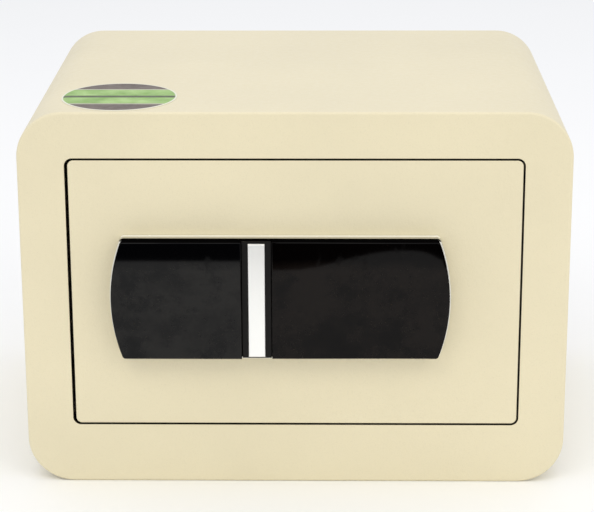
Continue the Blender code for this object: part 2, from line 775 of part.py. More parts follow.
def rack_outline():
    """The toothed bar seen from above: straight-sided teeth on its back edge, one of them at the pinion."""
    pitch = math.pi * MODULE
    half_tooth = pitch / 4 - TOOTH_PLAY / 2
    tip = PITCH_LINE_Y + ADDENDUM
    root = PITCH_LINE_Y - DEDENDUM
    half_tip = half_tooth - ADDENDUM * math.tan(PRESSURE)
    half_root = half_tooth + DEDENDUM * math.tan(PRESSURE)
    right = CARRIAGE_X + RACK_OVERLAP
    points = [(RACK_LEFT, root - RACK_BACKING), (right, root - RACK_BACKING), (right, root)]
    middle = RACK_TEETH // 2
    for tooth in reversed(range(RACK_TEETH)):
        x = PINION_X + (tooth - middle) * pitch
        points += [(x + half_root, root), (x + half_tip, tip), (x - half_tip, tip), (x - half_root, root)]
    points.append((RACK_LEFT, root))
    return points


def pinion_outline():
    """Involute teeth, with a gap facing the rack."""
    base_radius = PITCH_RADIUS * math.cos(PRESSURE)
    tip_radius = PITCH_RADIUS + ADDENDUM
    root_radius = PITCH_RADIUS - DEDENDUM
    half_thick = math.pi / (2 * PINION_TEETH) - TOOTH_PLAY / (2 * PITCH_RADIUS)
    involute = math.tan(PRESSURE) - PRESSURE
    flank = []
    for step in range(INVOLUTE_STEPS + 1):
        radius = base_radius + (tip_radius - base_radius) * step / INVOLUTE_STEPS
        pressure = math.acos(base_radius / radius)
        flank.append((radius, half_thick + involute - (math.tan(pressure) - pressure)))
    flank.insert(0, (root_radius, flank[0][1] + ROOT_TURN))
    points = []
    for tooth in range(PINION_TEETH):
        middle = -math.pi / 2 + 2 * math.pi * (tooth + 0.5) / PINION_TEETH
        sides = [(radius, middle - angle) for radius, angle in flank]
        sides += [(radius, middle + angle) for radius, angle in reversed(flank)]
        for radius, turn in sides:
            points.append((PINION_X + radius * math.cos(turn), PINION_Y + radius * math.sin(turn)))
    return points


def build_boltwork(paint):
    """The carriage with its rack, the two bolts it carries and the bushes they slide in."""
    half_height = CARRIAGE_HEIGHT / 2
    half_depth = CARRIAGE_DEPTH / 2
    carriage = box(
        "bolt_carriage",
        paint["steel"],
        (CARRIAGE_X, BOLT_Y - half_depth, OPENING_Z - half_height),
        (CARRIAGE_X + CARRIAGE_THICK, BOLT_Y + half_depth, OPENING_Z + half_height),
        PLATE_CORNER,
        "X",
    )
    rack_faces = (RACK_Z - RACK_THICK / 2, RACK_Z + RACK_THICK / 2)
    rack = prism("carriage_rack", paint["steel"], "Z", *rack_faces, rack_outline())
    combine(carriage, rack, "UNION")
    bolt = [
        (BOLT_RADIUS, CARRIAGE_X + CARRIAGE_THICK + SEAM),
        (BOLT_RADIUS, BOLT_TIP - BOLT_CHAMFER),
        (BOLT_RADIUS - BOLT_CHAMFER, BOLT_TIP),
    ]
    bore = BOLT_RADIUS + BUSH_PLAY
    sleeve = bore + BUSH_WALL
    flange_back = TRAY_RIGHT - TRAY_WALL - SEAM
    flange_front = flange_back - BUSH_FLANGE
    bush = [
        (bore, flange_front),
        (sleeve + BUSH_FLANGE, flange_front),
        (sleeve + BUSH_FLANGE, flange_back),
        (sleeve, flange_back),
        (sleeve, TRAY_RIGHT + BUSH_BEYOND),
        (bore, TRAY_RIGHT + BUSH_BEYOND),
        (bore, flange_front),
    ]
    for side, word in ((-1, "bottom"), (1, "top")):
        centre = (BOLT_Y, OPENING_Z + side * BOLT_OFFSET)
        turned(f"locking_bolt_{word}", paint["zinc"], "X", centre, bolt)
        turned(f"bolt_bush_{word}", paint["black_plastic"], "X", centre, bush)


def build_drive(paint):
    """The pinion on the shaft of the gearbox, the motor on the gearbox, and their bracket."""
    rack_bottom = RACK_Z - RACK_THICK / 2
    rack_top = RACK_Z + RACK_THICK / 2
    pinion_bottom = rack_bottom + PINION_STEP
    prism(
        "drive_pinion",
        paint["brass"],
        "Z",
        pinion_bottom,
        rack_top - PINION_STEP,
        pinion_outline(),
        [circle(PINION_X, PINION_Y, PINION_BORE, SMALL_HOLE_STEPS)],
        origin=(PINION_X, PINION_Y, RACK_Z),
    )
    gearbox_bottom = rack_top + GEARBOX_GAP
    gearbox_top = gearbox_bottom + GEARBOX_HEIGHT
    gearbox = box(
        "gearbox",
        paint["brass"],
        (PINION_X - GEARBOX_WIDTH / 2, PINION_Y - GEARBOX_DEPTH / 2, gearbox_bottom),
        (PINION_X + GEARBOX_WIDTH / 2, PINION_Y + GEARBOX_DEPTH / 2, gearbox_top),
        SMALL_CORNER,
        "Z",
    )
    shaft_ends = (pinion_bottom - SHAFT_BEYOND, gearbox_bottom + SHAFT_BEYOND)
    shaft_outline = circle(PINION_X, PINION_Y, SHAFT_RADIUS, SMALL_HOLE_STEPS)
    shaft = prism("gearbox_shaft", paint["steel"], "Z", *shaft_ends, shaft_outline)
    combine(gearbox, shaft, "UNION")
    motor_ends = (gearbox_top + SEAM, gearbox_top + SEAM + MOTOR_LENGTH)
    prism("drive_motor", paint["steel"], "Z", *motor_ends, circle(PINION_X, PINION_Y, MOTOR_RADIUS))
    bracket_bottom = gearbox_bottom + BRACKET_RISE
    bracket_back = PINION_Y - GEARBOX_DEPTH / 2 - SEAM
    box(
        "motor_bracket",
        paint["steel"],
        (PINION_X - BRACKET_WIDTH / 2, DOOR_BEHIND + SEAM, bracket_bottom),
        (PINION_X + BRACKET_WIDTH / 2, bracket_back, bracket_bottom + BRACKET_LENGTH),
        PLATE_CORNER,
    )


def build_guide(paint):
    """The channel that the rack slides in."""
    front = DOOR_BEHIND + SEAM
    lip = PITCH_LINE_Y - DEDENDUM - GUIDE_LIP
    floor = PITCH_LINE_Y - DEDENDUM - RACK_BACKING - RUNNING
    bottom = RACK_Z - RACK_THICK / 2 - RUNNING
    top = RACK_Z + RACK_THICK / 2 + RUNNING
    channel = [
        (front, bottom - GUIDE_WALL),
        (lip, bottom - GUIDE_WALL),
        (lip, bottom),
        (floor, bottom),
        (floor, top),
        (lip, top),
        (lip, top + GUIDE_WALL),
        (front, top + GUIDE_WALL),
    ]
    prism("rack_guide", paint["white_plastic"], "X", GUIDE_LEFT, GUIDE_RIGHT, channel)


# ---------------------------------------------------------------- lock and electronics


def build_lock(paint):
    """The emergency lock: cylinder, nut, plug with its keyway, cam, and the switch beside the cam."""
    bore = PLUG_RADIUS + PLUG_PLAY
    cylinder = [
        (bore, CYLINDER_FRONT),
        (CYLINDER_RADIUS, CYLINDER_FRONT),
        (CYLINDER_RADIUS, CYLINDER_BACK),
        (bore, CYLINDER_BACK),
        (bore, CYLINDER_FRONT),
    ]
    turned("key_cylinder", paint["zinc"], "Y", (KEY_X, KEY_Z), cylinder)
    nut_front = DOOR_BEHIND + SEAM
    nut = circle(KEY_X, KEY_Z, NUT_RADIUS, NUT_SIDES)
    thread = circle(KEY_X, KEY_Z, CYLINDER_RADIUS + SEAM)
    prism("cylinder_nut", paint["zinc"], "Y", nut_front, nut_front + NUT_THICK, nut, [thread])
    axis_point = (KEY_X, (CYLINDER_FRONT + CYLINDER_BACK) / 2, KEY_Z)
    plug = prism(
        "key_plug",
        paint["brass"],
        "Y",
        CYLINDER_FRONT - PLUG_PROUD,
        PLUG_BACK,
        circle(KEY_X, KEY_Z, PLUG_RADIUS),
        near_edge=PLUG_EDGE,
        origin=axis_point,
    )
    keyway = prism(
        "keyway_cutter",
        paint["brass"],
        "Y",
        CYLINDER_FRONT - CUT_BEYOND,
        CYLINDER_FRONT + KEYWAY_DEPTH,
        centred(KEY_X, KEY_Z, KEYWAY_WIDTH, KEYWAY_HEIGHT),
    )
    combine(plug, keyway, "DIFFERENCE")
    cam_front = PLUG_BACK + SEAM
    hub = arc(KEY_X, KEY_Z, CAM_HUB, half_turn(180))
    tip = arc(KEY_X, KEY_Z + CAM_REACH, CAM_TIP, half_turn(0))
    prism("key_cam", paint["steel"], "Y", cam_front, cam_front + CAM_THICK, hub + tip, origin=axis_point)
    override_front = cam_front - OVERRIDE_LEAD
    box(
        "override_switch",
        paint["black_plastic"],
        (OVERRIDE_LEFT, override_front, KEY_Z - OVERRIDE_HEIGHT / 2),
        (OVERRIDE_LEFT + OVERRIDE_WIDTH, override_front + OVERRIDE_DEPTH, KEY_Z + OVERRIDE_HEIGHT / 2),
        SMALL_CORNER,
    )


def build_socket(paint):
    """The round socket for an outside power supply."""
    socket_floor = CYLINDER_FRONT + SOCKET_DEPTH
    profile = [
        (SOCKET_RADIUS, CYLINDER_FRONT),
        (SOCKET_RADIUS, SOCKET_BACK),
        (SOCKET_PASSAGE, SOCKET_BACK),
        (SOCKET_PASSAGE, socket_floor),
        (SOCKET_BORE, socket_floor),
        (SOCKET_BORE, CYLINDER_FRONT),
        (SOCKET_RADIUS, CYLINDER_FRONT),
    ]
    turned("power_socket", paint["black_plastic"], "Y", (SOCKET_X, KEY_Z), profile, HOLE_STEPS)


def build_boards(paint):
    """The control board, and the ribbon that runs from the keypad through the door down to it."""
    box(
        "control_board",
        paint["board_green"],
        (BOARD_LEFT, BOARD_FRONT, BOARD_BOTTOM),
        (BOARD_RIGHT, BOARD_FRONT + BOARD_THICK, BOARD_TOP),
        PLATE_CORNER,
    )
    bottom = PANEL_Z - RIBBON_THICK / 2
    top = PANEL_Z + RIBBON_THICK / 2
    back = BOARD_FRONT - SEAM
    ribbon = [
        (RIBBON_FRONT, bottom),
        (RIBBON_BEND, bottom),
        (RIBBON_BEND, RIBBON_END_Z),
        (back, RIBBON_END_Z),
        (back, RIBBON_END_Z + RIBBON_THICK),
        (RIBBON_BEND + RIBBON_THICK, RIBBON_END_Z + RIBBON_THICK),
        (RIBBON_BEND + RIBBON_THICK, top),
        (RIBBON_FRONT, top),
    ]
    sides = (CABLE_X - RIBBON_WIDTH / 2, CABLE_X + RIBBON_WIDTH / 2)
    prism("ribbon_cable", paint["white_plastic"], "X", *sides, ribbon)


def build_battery_box(paint):
    """The open box for the cells, with a contact strip at each end."""
    box_front = TRAY_BACK - BOX_DEPTH
    battery_box = box(
        "battery_box",
        paint["black_plastic"],
        (BOX_LEFT, box_front, BOX_BOTTOM),
        (BOX_RIGHT, TRAY_BACK, BOX_TOP),
        BOX_CORNER,
    )
    hollow = box(
        "box_cutter",
        paint["black_plastic"],
        (BOX_LEFT + BOX_WALL, box_front + BOX_WALL, BOX_BOTTOM + BOX_WALL),
        (BOX_RIGHT - BOX_WALL, TRAY_BACK + CUT_BEYOND, BOX_TOP - BOX_WALL),
    )
    combine(battery_box, hollow, "DIFFERENCE")
    strip_front = box_front + BOX_WALL + CONTACT_FRONT_MARGIN
    for side, word, wall in ((-1, "left", BOX_LEFT + BOX_WALL), (1, "right", BOX_RIGHT - BOX_WALL)):
        clear = wall - side * CONTACT_CLEAR
        faces = sorted((clear, clear - side * CONTACT_THICK))
        box(
            f"contact_strip_{word}",
            paint["zinc"],
            (faces[0], strip_front, BOX_BOTTOM + CONTACT_END_MARGIN),
            (faces[1], TRAY_BACK - CONTACT_BACK_MARGIN, BOX_TOP - CONTACT_END_MARGIN),
        )


def build_cells(paint):
    """The cells, laid side by side with every other one turned round."""
    cell_y = TRAY_BACK - BOX_DEPTH + BOX_WALL + CELL_RADIUS + CELL_CLEAR
    start = BOX_LEFT + BOX_WALL + CELL_END_CLEAR
    end = start + CELL_LENGTH + NIB_LENGTH
    neck = CELL_RADIUS - CELL_SHOULDER
    profile = [
        (neck, 0),
        (CELL_RADIUS, CELL_SHOULDER_LENGTH),
        (CELL_RADIUS, CELL_LENGTH - CELL_SHOULDER_LENGTH),
        (neck, CELL_LENGTH),
        (NIB_RADIUS, CELL_LENGTH),
        (NIB_RADIUS, CELL_LENGTH + NIB_LENGTH),
    ]
    for index in range(CELL_COUNT):
        z = BOX_MIDDLE_Z + (index - (CELL_COUNT - 1) / 2) * CELL_PITCH
        places = [(radius, end - along if index % 2 else start + along) for radius, along in profile]
        turned(f"battery_cell_{index + 1}", paint["cell_wrap"], "X", (cell_y, z), places, HOLE_STEPS)


def build_back_controls(paint):
    """On the back of the tray's cover: the battery cover and the reset button, with its switch."""
    cover_front = TRAY_BACK + SEAM + COVER_THICK + SEAM
    outline = rectangle(
        BOX_LEFT - CELL_COVER_SIDE,
        BOX_RIGHT + CELL_COVER_SIDE,
        BOX_BOTTOM - CELL_COVER_END,
        BOX_TOP + CELL_COVER_END,
        CELL_COVER_CORNER,
        SMALL_CORNER_STEPS,
    )
    prism(
        "battery_cover",
        paint["black_plastic"],
        "Y",
        cover_front,
        cover_front + CELL_COVER_THICK,
        outline,
        far_edge=CELL_COVER_EDGE,
        origin=((BOX_LEFT + BOX_RIGHT) / 2, cover_front, BOX_MIDDLE_Z),
    )
    button_back = cover_front + BUTTON_PROUD
    prism(
        "reset_button",
        paint["badge_green"],
        "Y",
        BUTTON_FRONT,
        button_back,
        circle(BUTTON_X, BUTTON_Z, BUTTON_RADIUS, HOLE_STEPS),
        far_edge=BUTTON_EDGE,
        origin=(BUTTON_X, button_back, BUTTON_Z),
    )
    switch_back = BUTTON_FRONT - BUTTON_TRAVEL
    box(
        "reset_switch",
        paint["black_plastic"],
        (BUTTON_X - RESET_SIZE / 2, switch_back - RESET_DEPTH, BUTTON_Z - RESET_SIZE / 2),
        (BUTTON_X + RESET_SIZE / 2, switch_back, BUTTON_Z + RESET_SIZE / 2),
        SMALL_CORNER,
    )


# ---------------------------------------------------------------- control panel


def build_panel_base(paint):
    """The frame of the panel, with the bay of the lock, the slots of the cover and the keypad's pocket."""
    bay = rectangle(BAY_LEFT, BAY_RIGHT, BAY_BOTTOM, BAY_TOP, BAY_CORNER, SMALL_CORNER_STEPS)
    slots = [
        rectangle(
            x - SLOT_WIDTH / 2,
            x + SLOT_WIDTH / 2,
            SLOT_BOTTOM,
            SLOT_BOTTOM + RIB_HEIGHT + COVER_TRAVEL + 2 * RUNNING,
            SLOT_CORNER,
            TINY_CORNER_STEPS,
        )
        for x in SLOT_XS
    ]
    pocket_middle = (POCKET_LEFT + POCKET_RIGHT) / 2
    pocket_width = POCKET_RIGHT - POCKET_LEFT
    pocket = centred(pocket_middle, PANEL_Z, pocket_width, POCKET_HEIGHT, POCKET_CORNER)
    prism(
        "panel_base",
        paint["powder_coat"],
        "Y",
        BASE_FRONT,
        FACE - SEAM,
        panel_outline(PANEL_RIM),
        [bay, pocket] + slots,
        near_edge=BASE_EDGE,
    )
    keypad_half = POCKET_HEIGHT / 2 - KEYPAD_MARGIN
    box(
        "keypad_board",
        paint["board_green"],
        (POCKET_LEFT + KEYPAD_MARGIN, KEYPAD_FRONT, PANEL_Z - keypad_half),
        (POCKET_RIGHT - KEYPAD_MARGIN, KEYPAD_FRONT + BOARD_THICK, PANEL_Z + keypad_half),
        KEYPAD_CORNER,
    )


def build_slide_cover(paint):
    """The sliding left plate, with two ribs that run in the slots of the base."""
    plate_back = BASE_FRONT - RUNNING
    slide = prism(
        "slide_cover",
        paint["black_gloss"],
        "Y",
        FRONT,
        plate_back,
        left_panel_outline(RUNNING),
        near_edge=LENS_EDGE,
        origin=(PANEL_CENTRE_X - PANEL_WIDTH / 4, plate_back, PANEL_Z),
    )
    half = SLOT_WIDTH / 2 - RUNNING
    rib_bottom = SLOT_BOTTOM + RUNNING
    for index, x in enumerate(SLOT_XS):
        low = (x - half, plate_back - RIB_ROOT, rib_bottom)
        high = (x + half, BASE_FRONT + RIB_BEYOND, rib_bottom + RIB_HEIGHT)
        combine(slide, box(f"slide_rib_{index}", paint["black_gloss"], low, high), "UNION")


def build_panel_front(paint):
    """The touch lens on the right, the spine between the two plates and the bright bar on it."""
    lens_back = BASE_FRONT - SEAM
    prism(
        "touch_lens",
        paint["black_gloss"],
        "Y",
        LENS_FRONT,
        lens_back,
        right_panel_outline(RUNNING),
        near_edge=LENS_EDGE,
    )
    spine = rectangle(SPINE_LEFT, SPINE_RIGHT, PANEL_Z - PANEL_HEIGHT / 2, PANEL_Z + PANEL_HEIGHT / 2)
    prism("spine_strip", paint["black_plastic"], "Y", SPINE_FRONT, lens_back, spine)
    bar = rectangle(BAR_LEFT, BAR_RIGHT, PANEL_Z - BAR_HEIGHT / 2, PANEL_Z + BAR_HEIGHT / 2)
    bar_back = SPINE_FRONT - SEAM
    prism("trim_bar", paint["satin_metal"], "Y", BAR_FRONT, bar_back, bar, near_edge=BAR_EDGE)


def main():
    clear_scene()
    paint = make_materials()
    build_body(paint)
    build_jamb(paint)
    build_mat(paint)
    build_badge(paint)
    build_door(paint)
    build_tray(paint)
    build_boltwork(paint)
    build_drive(paint)
    build_guide(paint)
    build_lock(paint)
    build_socket(paint)
    build_boards(paint)
    build_battery_box(paint)
    build_cells(paint)
    build_back_controls(paint)
    build_panel_base(paint)
    build_slide_cover(paint)
    build_panel_front(paint)


main()
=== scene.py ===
"""The looks of the in-room safe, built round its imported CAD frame: metres, +Z up, front towards -Y."""

import json
import math

import bmesh
import bpy
from mathutils import Euler, Matrix, Quaternion, Vector
from mathutils.geometry import tessellate_polygon

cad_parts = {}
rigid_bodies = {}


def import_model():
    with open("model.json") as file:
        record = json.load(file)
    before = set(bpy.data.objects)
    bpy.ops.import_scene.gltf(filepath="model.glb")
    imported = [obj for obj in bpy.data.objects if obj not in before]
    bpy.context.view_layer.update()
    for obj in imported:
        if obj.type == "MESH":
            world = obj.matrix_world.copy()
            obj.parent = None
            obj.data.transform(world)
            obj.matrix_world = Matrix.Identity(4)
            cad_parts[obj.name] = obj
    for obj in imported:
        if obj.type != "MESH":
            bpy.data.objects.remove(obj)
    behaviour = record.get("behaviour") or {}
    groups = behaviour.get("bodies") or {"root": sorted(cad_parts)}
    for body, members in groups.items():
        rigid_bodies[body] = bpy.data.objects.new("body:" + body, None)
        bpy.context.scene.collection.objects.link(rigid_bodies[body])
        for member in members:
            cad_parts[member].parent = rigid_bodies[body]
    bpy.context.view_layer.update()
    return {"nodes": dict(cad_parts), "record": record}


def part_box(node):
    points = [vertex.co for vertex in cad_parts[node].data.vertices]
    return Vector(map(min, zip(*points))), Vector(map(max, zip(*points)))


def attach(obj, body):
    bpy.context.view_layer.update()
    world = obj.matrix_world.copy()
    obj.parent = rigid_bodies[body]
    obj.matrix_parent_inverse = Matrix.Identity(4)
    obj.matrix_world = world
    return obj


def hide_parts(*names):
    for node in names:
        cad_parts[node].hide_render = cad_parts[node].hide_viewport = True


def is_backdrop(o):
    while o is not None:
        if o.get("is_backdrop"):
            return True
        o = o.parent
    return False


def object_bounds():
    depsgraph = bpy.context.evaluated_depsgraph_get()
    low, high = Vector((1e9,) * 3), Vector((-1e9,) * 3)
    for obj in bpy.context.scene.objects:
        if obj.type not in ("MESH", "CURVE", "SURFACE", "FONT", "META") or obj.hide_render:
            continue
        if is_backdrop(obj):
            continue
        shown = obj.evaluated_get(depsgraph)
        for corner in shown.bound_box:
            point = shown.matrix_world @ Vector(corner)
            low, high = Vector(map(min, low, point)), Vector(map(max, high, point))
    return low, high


MM = 0.001

# Camera: straight on, a little right of the middle and above the safe
CAMERA_PLACE = (0.0207, -1.3391, 0.5551)
CAMERA_PITCH = math.radians(16.77)
CAMERA_YAW = math.radians(-0.9)
CAMERA_ROLL = math.radians(-0.2)
CAMERA_SENSOR = 36.0
CAMERA_LENS = 122.4
CAMERA_SHIFT_Y = -0.079

# Painted shell
SHELL_CORNER = 30 * MM
SHELL_WALL = 3 * MM
SHELL_EDGE = 1.6 * MM
DOORWAY_CORNER = 5 * MM
DOORWAY_EDGE = 0.5 * MM
DOOR_GAP = 1.2 * MM
HINGE_GAP = 2 * MM
DOOR_EDGE = 0.7 * MM
REAR_EDGE = 0.3 * MM
HOLDING = 0.4 * MM  # a strip of flat face kept beside each rounded edge
HOLE_CLEARANCE = 0.3 * MM
GROMMET_CORNER = 3 * MM

# Control panel
PANEL_ARC = 112 * MM
PANEL_RIM = 0.8 * MM
PANEL_CORNER = 2.2 * MM  # where the end arcs meet the straight edges
ARC_TURN = math.radians(30)  # a corner that turns by more than this, and isn't square, is rounded
SQUARE_TURN = math.radians(85)
PANEL_EDGE = 0.25 * MM
PANEL_BORDER = 1.3 * MM  # the strip of the panel's front that gets a finish of its own
TOP_BORDER = 1.4 * MM  # how far down from the top that strip is black
BAY_LEFT = -96 * MM
BAY_RIGHT = -54 * MM
BAY_BOTTOM = 96 * MM
BAY_TOP = 126 * MM
BAY_CORNER = 3 * MM
SLOT_XS = (-102 * MM, -48 * MM)
SLOT_WIDTH = 3.4 * MM
SLOT_BOTTOM = 98 * MM
SLOT_TOP = 158.8 * MM
SLOT_CORNER = 1 * MM
PLATE_BACK_GAP = 0.4 * MM
TOP_BLACK = 3.0 * MM  # the front of the panel's top side, in black
TOP_HIGHLIGHT = 3.2 * MM  # its back, next to the door, painted bright as a highlight
PLATE_EDGE = 0.6 * MM
# The smudges' painted reflection of the floor fades out between these heights
HAZE_TOP = 158 * MM
HAZE_FADE = 8 * MM

# The lens's face leans to and fro along its length, which bends the edge of what it reflects
TWIST_CUTS = 24
TWIST_CREST = 0.45
TWIST_SPAN = 1.3
TWIST_MIDDLE = 0.0002
TWIST_SWING = 0.0089
TWIST_FALL = 32.6

SPINE_EDGE = 0.2 * MM
BAR_EDGE = 0.9 * MM

# Badge
BADGE_GLUE = 0.05 * MM
BADGE_BEVEL = 0.1 * MM

# Its print, as shares of the badge's radius
BAND_REACH = 0.50
BAND_EDGE = 0.53
LINE_REACH = 0.07
PRINT_BLUR = 0.012

# Mat on the floor inside
MAT_CORNER = 6 * MM
MAT_EDGE_BELOW = 0.4 * MM
MAT_EDGE_ABOVE = 0.8 * MM

# Softened edges of the CAD nodes that show
SOFT_EDGE = 0.25 * MM
SOFT_EDGE_STEPS = 2
WELD_GAP = 0.01 * MM
FLAT_ANGLE = math.radians(1)

# Lights
WORLD_COLOUR = (0.98, 0.99, 1.02, 1.0)
WORLD_STRENGTH = 0.84
WARM = (1.0, 0.95, 0.78)
COOL = (0.92, 0.96, 1.2)
LIGHT_TARGET = (0.0, 0.0, 0.12)

# Floor, and the black card that only reflections see
FLOOR_RADIUS = 14.0
CARD_AHEAD = 0.47
CARD_HALF_WIDTH = 3.0
CARD_DEPTH = 4.0
CARD_LIFT = 0.002

# How many steps stand for a curve
ARC_STEPS = 20
END_STEPS = 28
PANEL_CORNER_STEPS = 8
MAT_CORNER_STEPS = 8
HOLE_CORNER_STEPS = 6
SLOT_CORNER_STEPS = 4
CIRCLE_STEPS = 48
FLOOR_STEPS = 96
BADGE_STEPS = 96
BADGE_RINGS = 12
EDGE_STEPS = 4
REAR_EDGE_STEPS = 2
PLATE_EDGE_STEPS = 5
SHELL_EDGE_STEPS = 6
SMOOTH_ANGLE = math.radians(40)

# How far a face's normal points along one axis, to tell sides, tops and fronts apart
SIDE_LEAN = 0.3
PLATE_SIDE_LEAN = 0.5
TOP_LEAN = 0.5
FRONT_LEAN = -0.9


# ---------------------------------------------------------------- outlines


def rounded_rectangle(left, right, bottom, top, corner, steps=ARC_STEPS):
    """A counter-clockwise outline with rounded corners."""
    points = []
    centres = (
        (right - corner, bottom + corner, -90),
        (right - corner, top - corner, 0),
        (left + corner, top - corner, 90),
        (left + corner, bottom + corner, 180),
    )
    for x, z, start in centres:
        for step in range(steps + 1):
            angle = math.radians(start + 90 * step / steps)
            points.append((x + corner * math.cos(angle), z + corner * math.sin(angle)))
    return points


def circle(x, z, radius, steps=CIRCLE_STEPS):
    turns = [2 * math.pi * step / steps for step in range(steps)]
    return [(x + radius * math.cos(turn), z + radius * math.sin(turn)) for turn in turns]


def offset(outline, amount):
    """Moves every point of a counter-clockwise outline inwards along the bisector of its corner."""
    moved = []
    for index, point in enumerate(outline):
        here = Vector(point)
        before = (here - Vector(outline[index - 1])).normalized()
        after = (Vector(outline[(index + 1) % len(outline)]) - here).normalized()
        normal_before = Vector((-before.y, before.x))
        normal_after = Vector((-after.y, after.x))
        step = (normal_before + normal_after) / (1 + normal_before.dot(normal_after))
        moved.append(tuple(here + step * amount))
    return moved


def softened(outline, radius):
    """Rounds the corners of a counter-clockwise outline where an arc meets a straight edge."""
    points = []
    for index, point in enumerate(outline):
        here = Vector(point)
        before = (here - Vector(outline[index - 1])).normalized()
        after = (Vector(outline[(index + 1) % len(outline)]) - here).normalized()
        turn = math.atan2(before.cross(after), before.dot(after))
        if not ARC_TURN < turn < SQUARE_TURN:
            points.append(point)
            continue
        start = here - before * radius * math.tan(turn / 2)
        centre = start + Vector((-before.y, before.x)) * radius
        for step in range(PANEL_CORNER_STEPS + 1):
            spoke = Matrix.Rotation(turn * step / PANEL_CORNER_STEPS, 2) @ (start - centre)
            points.append(tuple(centre + spoke))
    return points


def bulging_end(low, high, side):
    """The arc at one end of the panel, whose middle touches the box's side."""
    half_height = (high.z - low.z) / 2
    middle = (high.z + low.z) / 2
    half_angle = math.asin(half_height / PANEL_ARC)
    edge = high.x if side > 0 else low.x
    points = []
    for step in range(END_STEPS + 1):
        angle = -half_angle + 2 * half_angle * step / END_STEPS
        x = edge - side * PANEL_ARC * (1 - math.cos(angle))
        points.append((x, middle + side * PANEL_ARC * math.sin(angle)))
    return points


# ---------------------------------------------------------------- solids


def placed(axis, flat, along):
    """A point of an outline put in space: the outline lies across the axis it is extruded on."""
    a, b = flat
    return {"X": (along, a, b), "Y": (a, along, b), "Z": (a, b, along)}[axis]


def finished(name, mesh_data, material, body, replaced=(), finishes=(), finish_of=None):
    """Makes the object, shades it, and hangs it on its body.

    finish_of picks a face's finish: 0, or 1 for the first of the other finishes, and so on.
    """
    bmesh.ops.recalc_face_normals(mesh_data, faces=mesh_data.faces)
    if finish_of:
        for face in mesh_data.faces:
            face.material_index = finish_of(face)
    mesh = bpy.data.meshes.new(name)
    mesh_data.to_mesh(mesh)
    mesh_data.free()
    mesh.shade_smooth()
    mesh.set_sharp_from_angle(angle=SMOOTH_ANGLE)
    mesh.materials.append(material)
    for other in finishes:
        mesh.materials.append(other)
    obj = bpy.data.objects.new(name, mesh)
    bpy.context.scene.collection.objects.link(obj)
    weighted = obj.modifiers.new("flat_faces", "WEIGHTED_NORMAL")
    weighted.keep_sharp = True
    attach(obj, body)
    if replaced:
        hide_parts(*replaced)
    return obj


def add_ring(mesh_data, axis, outline, along):
    return [mesh_data.verts.new(placed(axis, point, along)) for point in outline]


def join_rings(mesh_data, first, second):
    for index in range(len(first)):
        after = (index + 1) % len(first)
        mesh_data.faces.new((first[index], first[after], second[after], second[index]))


def cap_rings(mesh_data, rings):
    """Closes a flat end, leaving its holes open."""
    corners = [vert for ring in rings for vert in ring]
    for triangle in tessellate_polygon([[vert.co for vert in ring] for ring in rings]):
        mesh_data.faces.new([corners[index] for index in triangle])


def quarter_turn(radius, steps=EDGE_STEPS):
    """(inset, depth) pairs round a rounded edge, from the face to the side."""
    turns = [math.pi / 2 * step / steps for step in range(steps + 1)]
    return [(radius * (1 - math.sin(turn)), radius * (1 - math.cos(turn))) for turn in turns]


def slab(
    name,
    material,
    body,
    replaced,
    axis,
    near,
    far,
    outline,
    holes=(),
    near_edge=0.0,
    far_edge=0.0,
    border=0.0,
    belts=(),
    finishes=(),
    finish_of=None,
):
    """An outline with holes, extruded along an axis, with its outer edges rounded.

    A border divides the near face, and belts divide the side at places along the axis, so that each part
    can have its own finish.
    """
    sections = [(0.0, near)]
    if near_edge:
        sections = [(inset, near + depth) for inset, depth in quarter_turn(near_edge)]
    sections += [(0.0, belt) for belt in belts]
    if far_edge:
        sections += [(inset, far - depth) for inset, depth in reversed(quarter_turn(far_edge))]
    else:
        sections.append((0.0, far))
    if border:
        sections.insert(0, (border, near))
    mesh_data = bmesh.new()
    outer = [
        add_ring(mesh_data, axis, offset(outline, inset) if inset else outline, along)
        for inset, along in sections
    ]
    for first, second in zip(outer, outer[1:]):
        join_rings(mesh_data, first, second)
    near_holes = [add_ring(mesh_data, axis, hole, near) for hole in holes]
    far_holes = [add_ring(mesh_data, axis, hole, far) for hole in holes]
    for first, second in zip(near_holes, far_holes):
        join_rings(mesh_data, first, second)
    cap_rings(mesh_data, [outer[0]] + near_holes)
    cap_rings(mesh_data, [outer[-1]] + far_holes)
    obj = finished(name, mesh_data, material, body, replaced, finishes, finish_of)
    return obj


# ---------------------------------------------------------------- material helpers


def linear(red, green, blue):
    """A colour given in 0 to 255 screen values, as the shader's linear values."""
    channels = []
    for value in (red, green, blue):
        share = value / 255
        channels.append(share / 12.92 if share <= 0.04045 else ((share + 0.055) / 1.055) ** 2.4)
    return (*channels, 1.0)


def shaded(colour, factor):
    """A colour made darker or lighter."""
    return (*(channel * factor for channel in colour[:3]), 1.0)


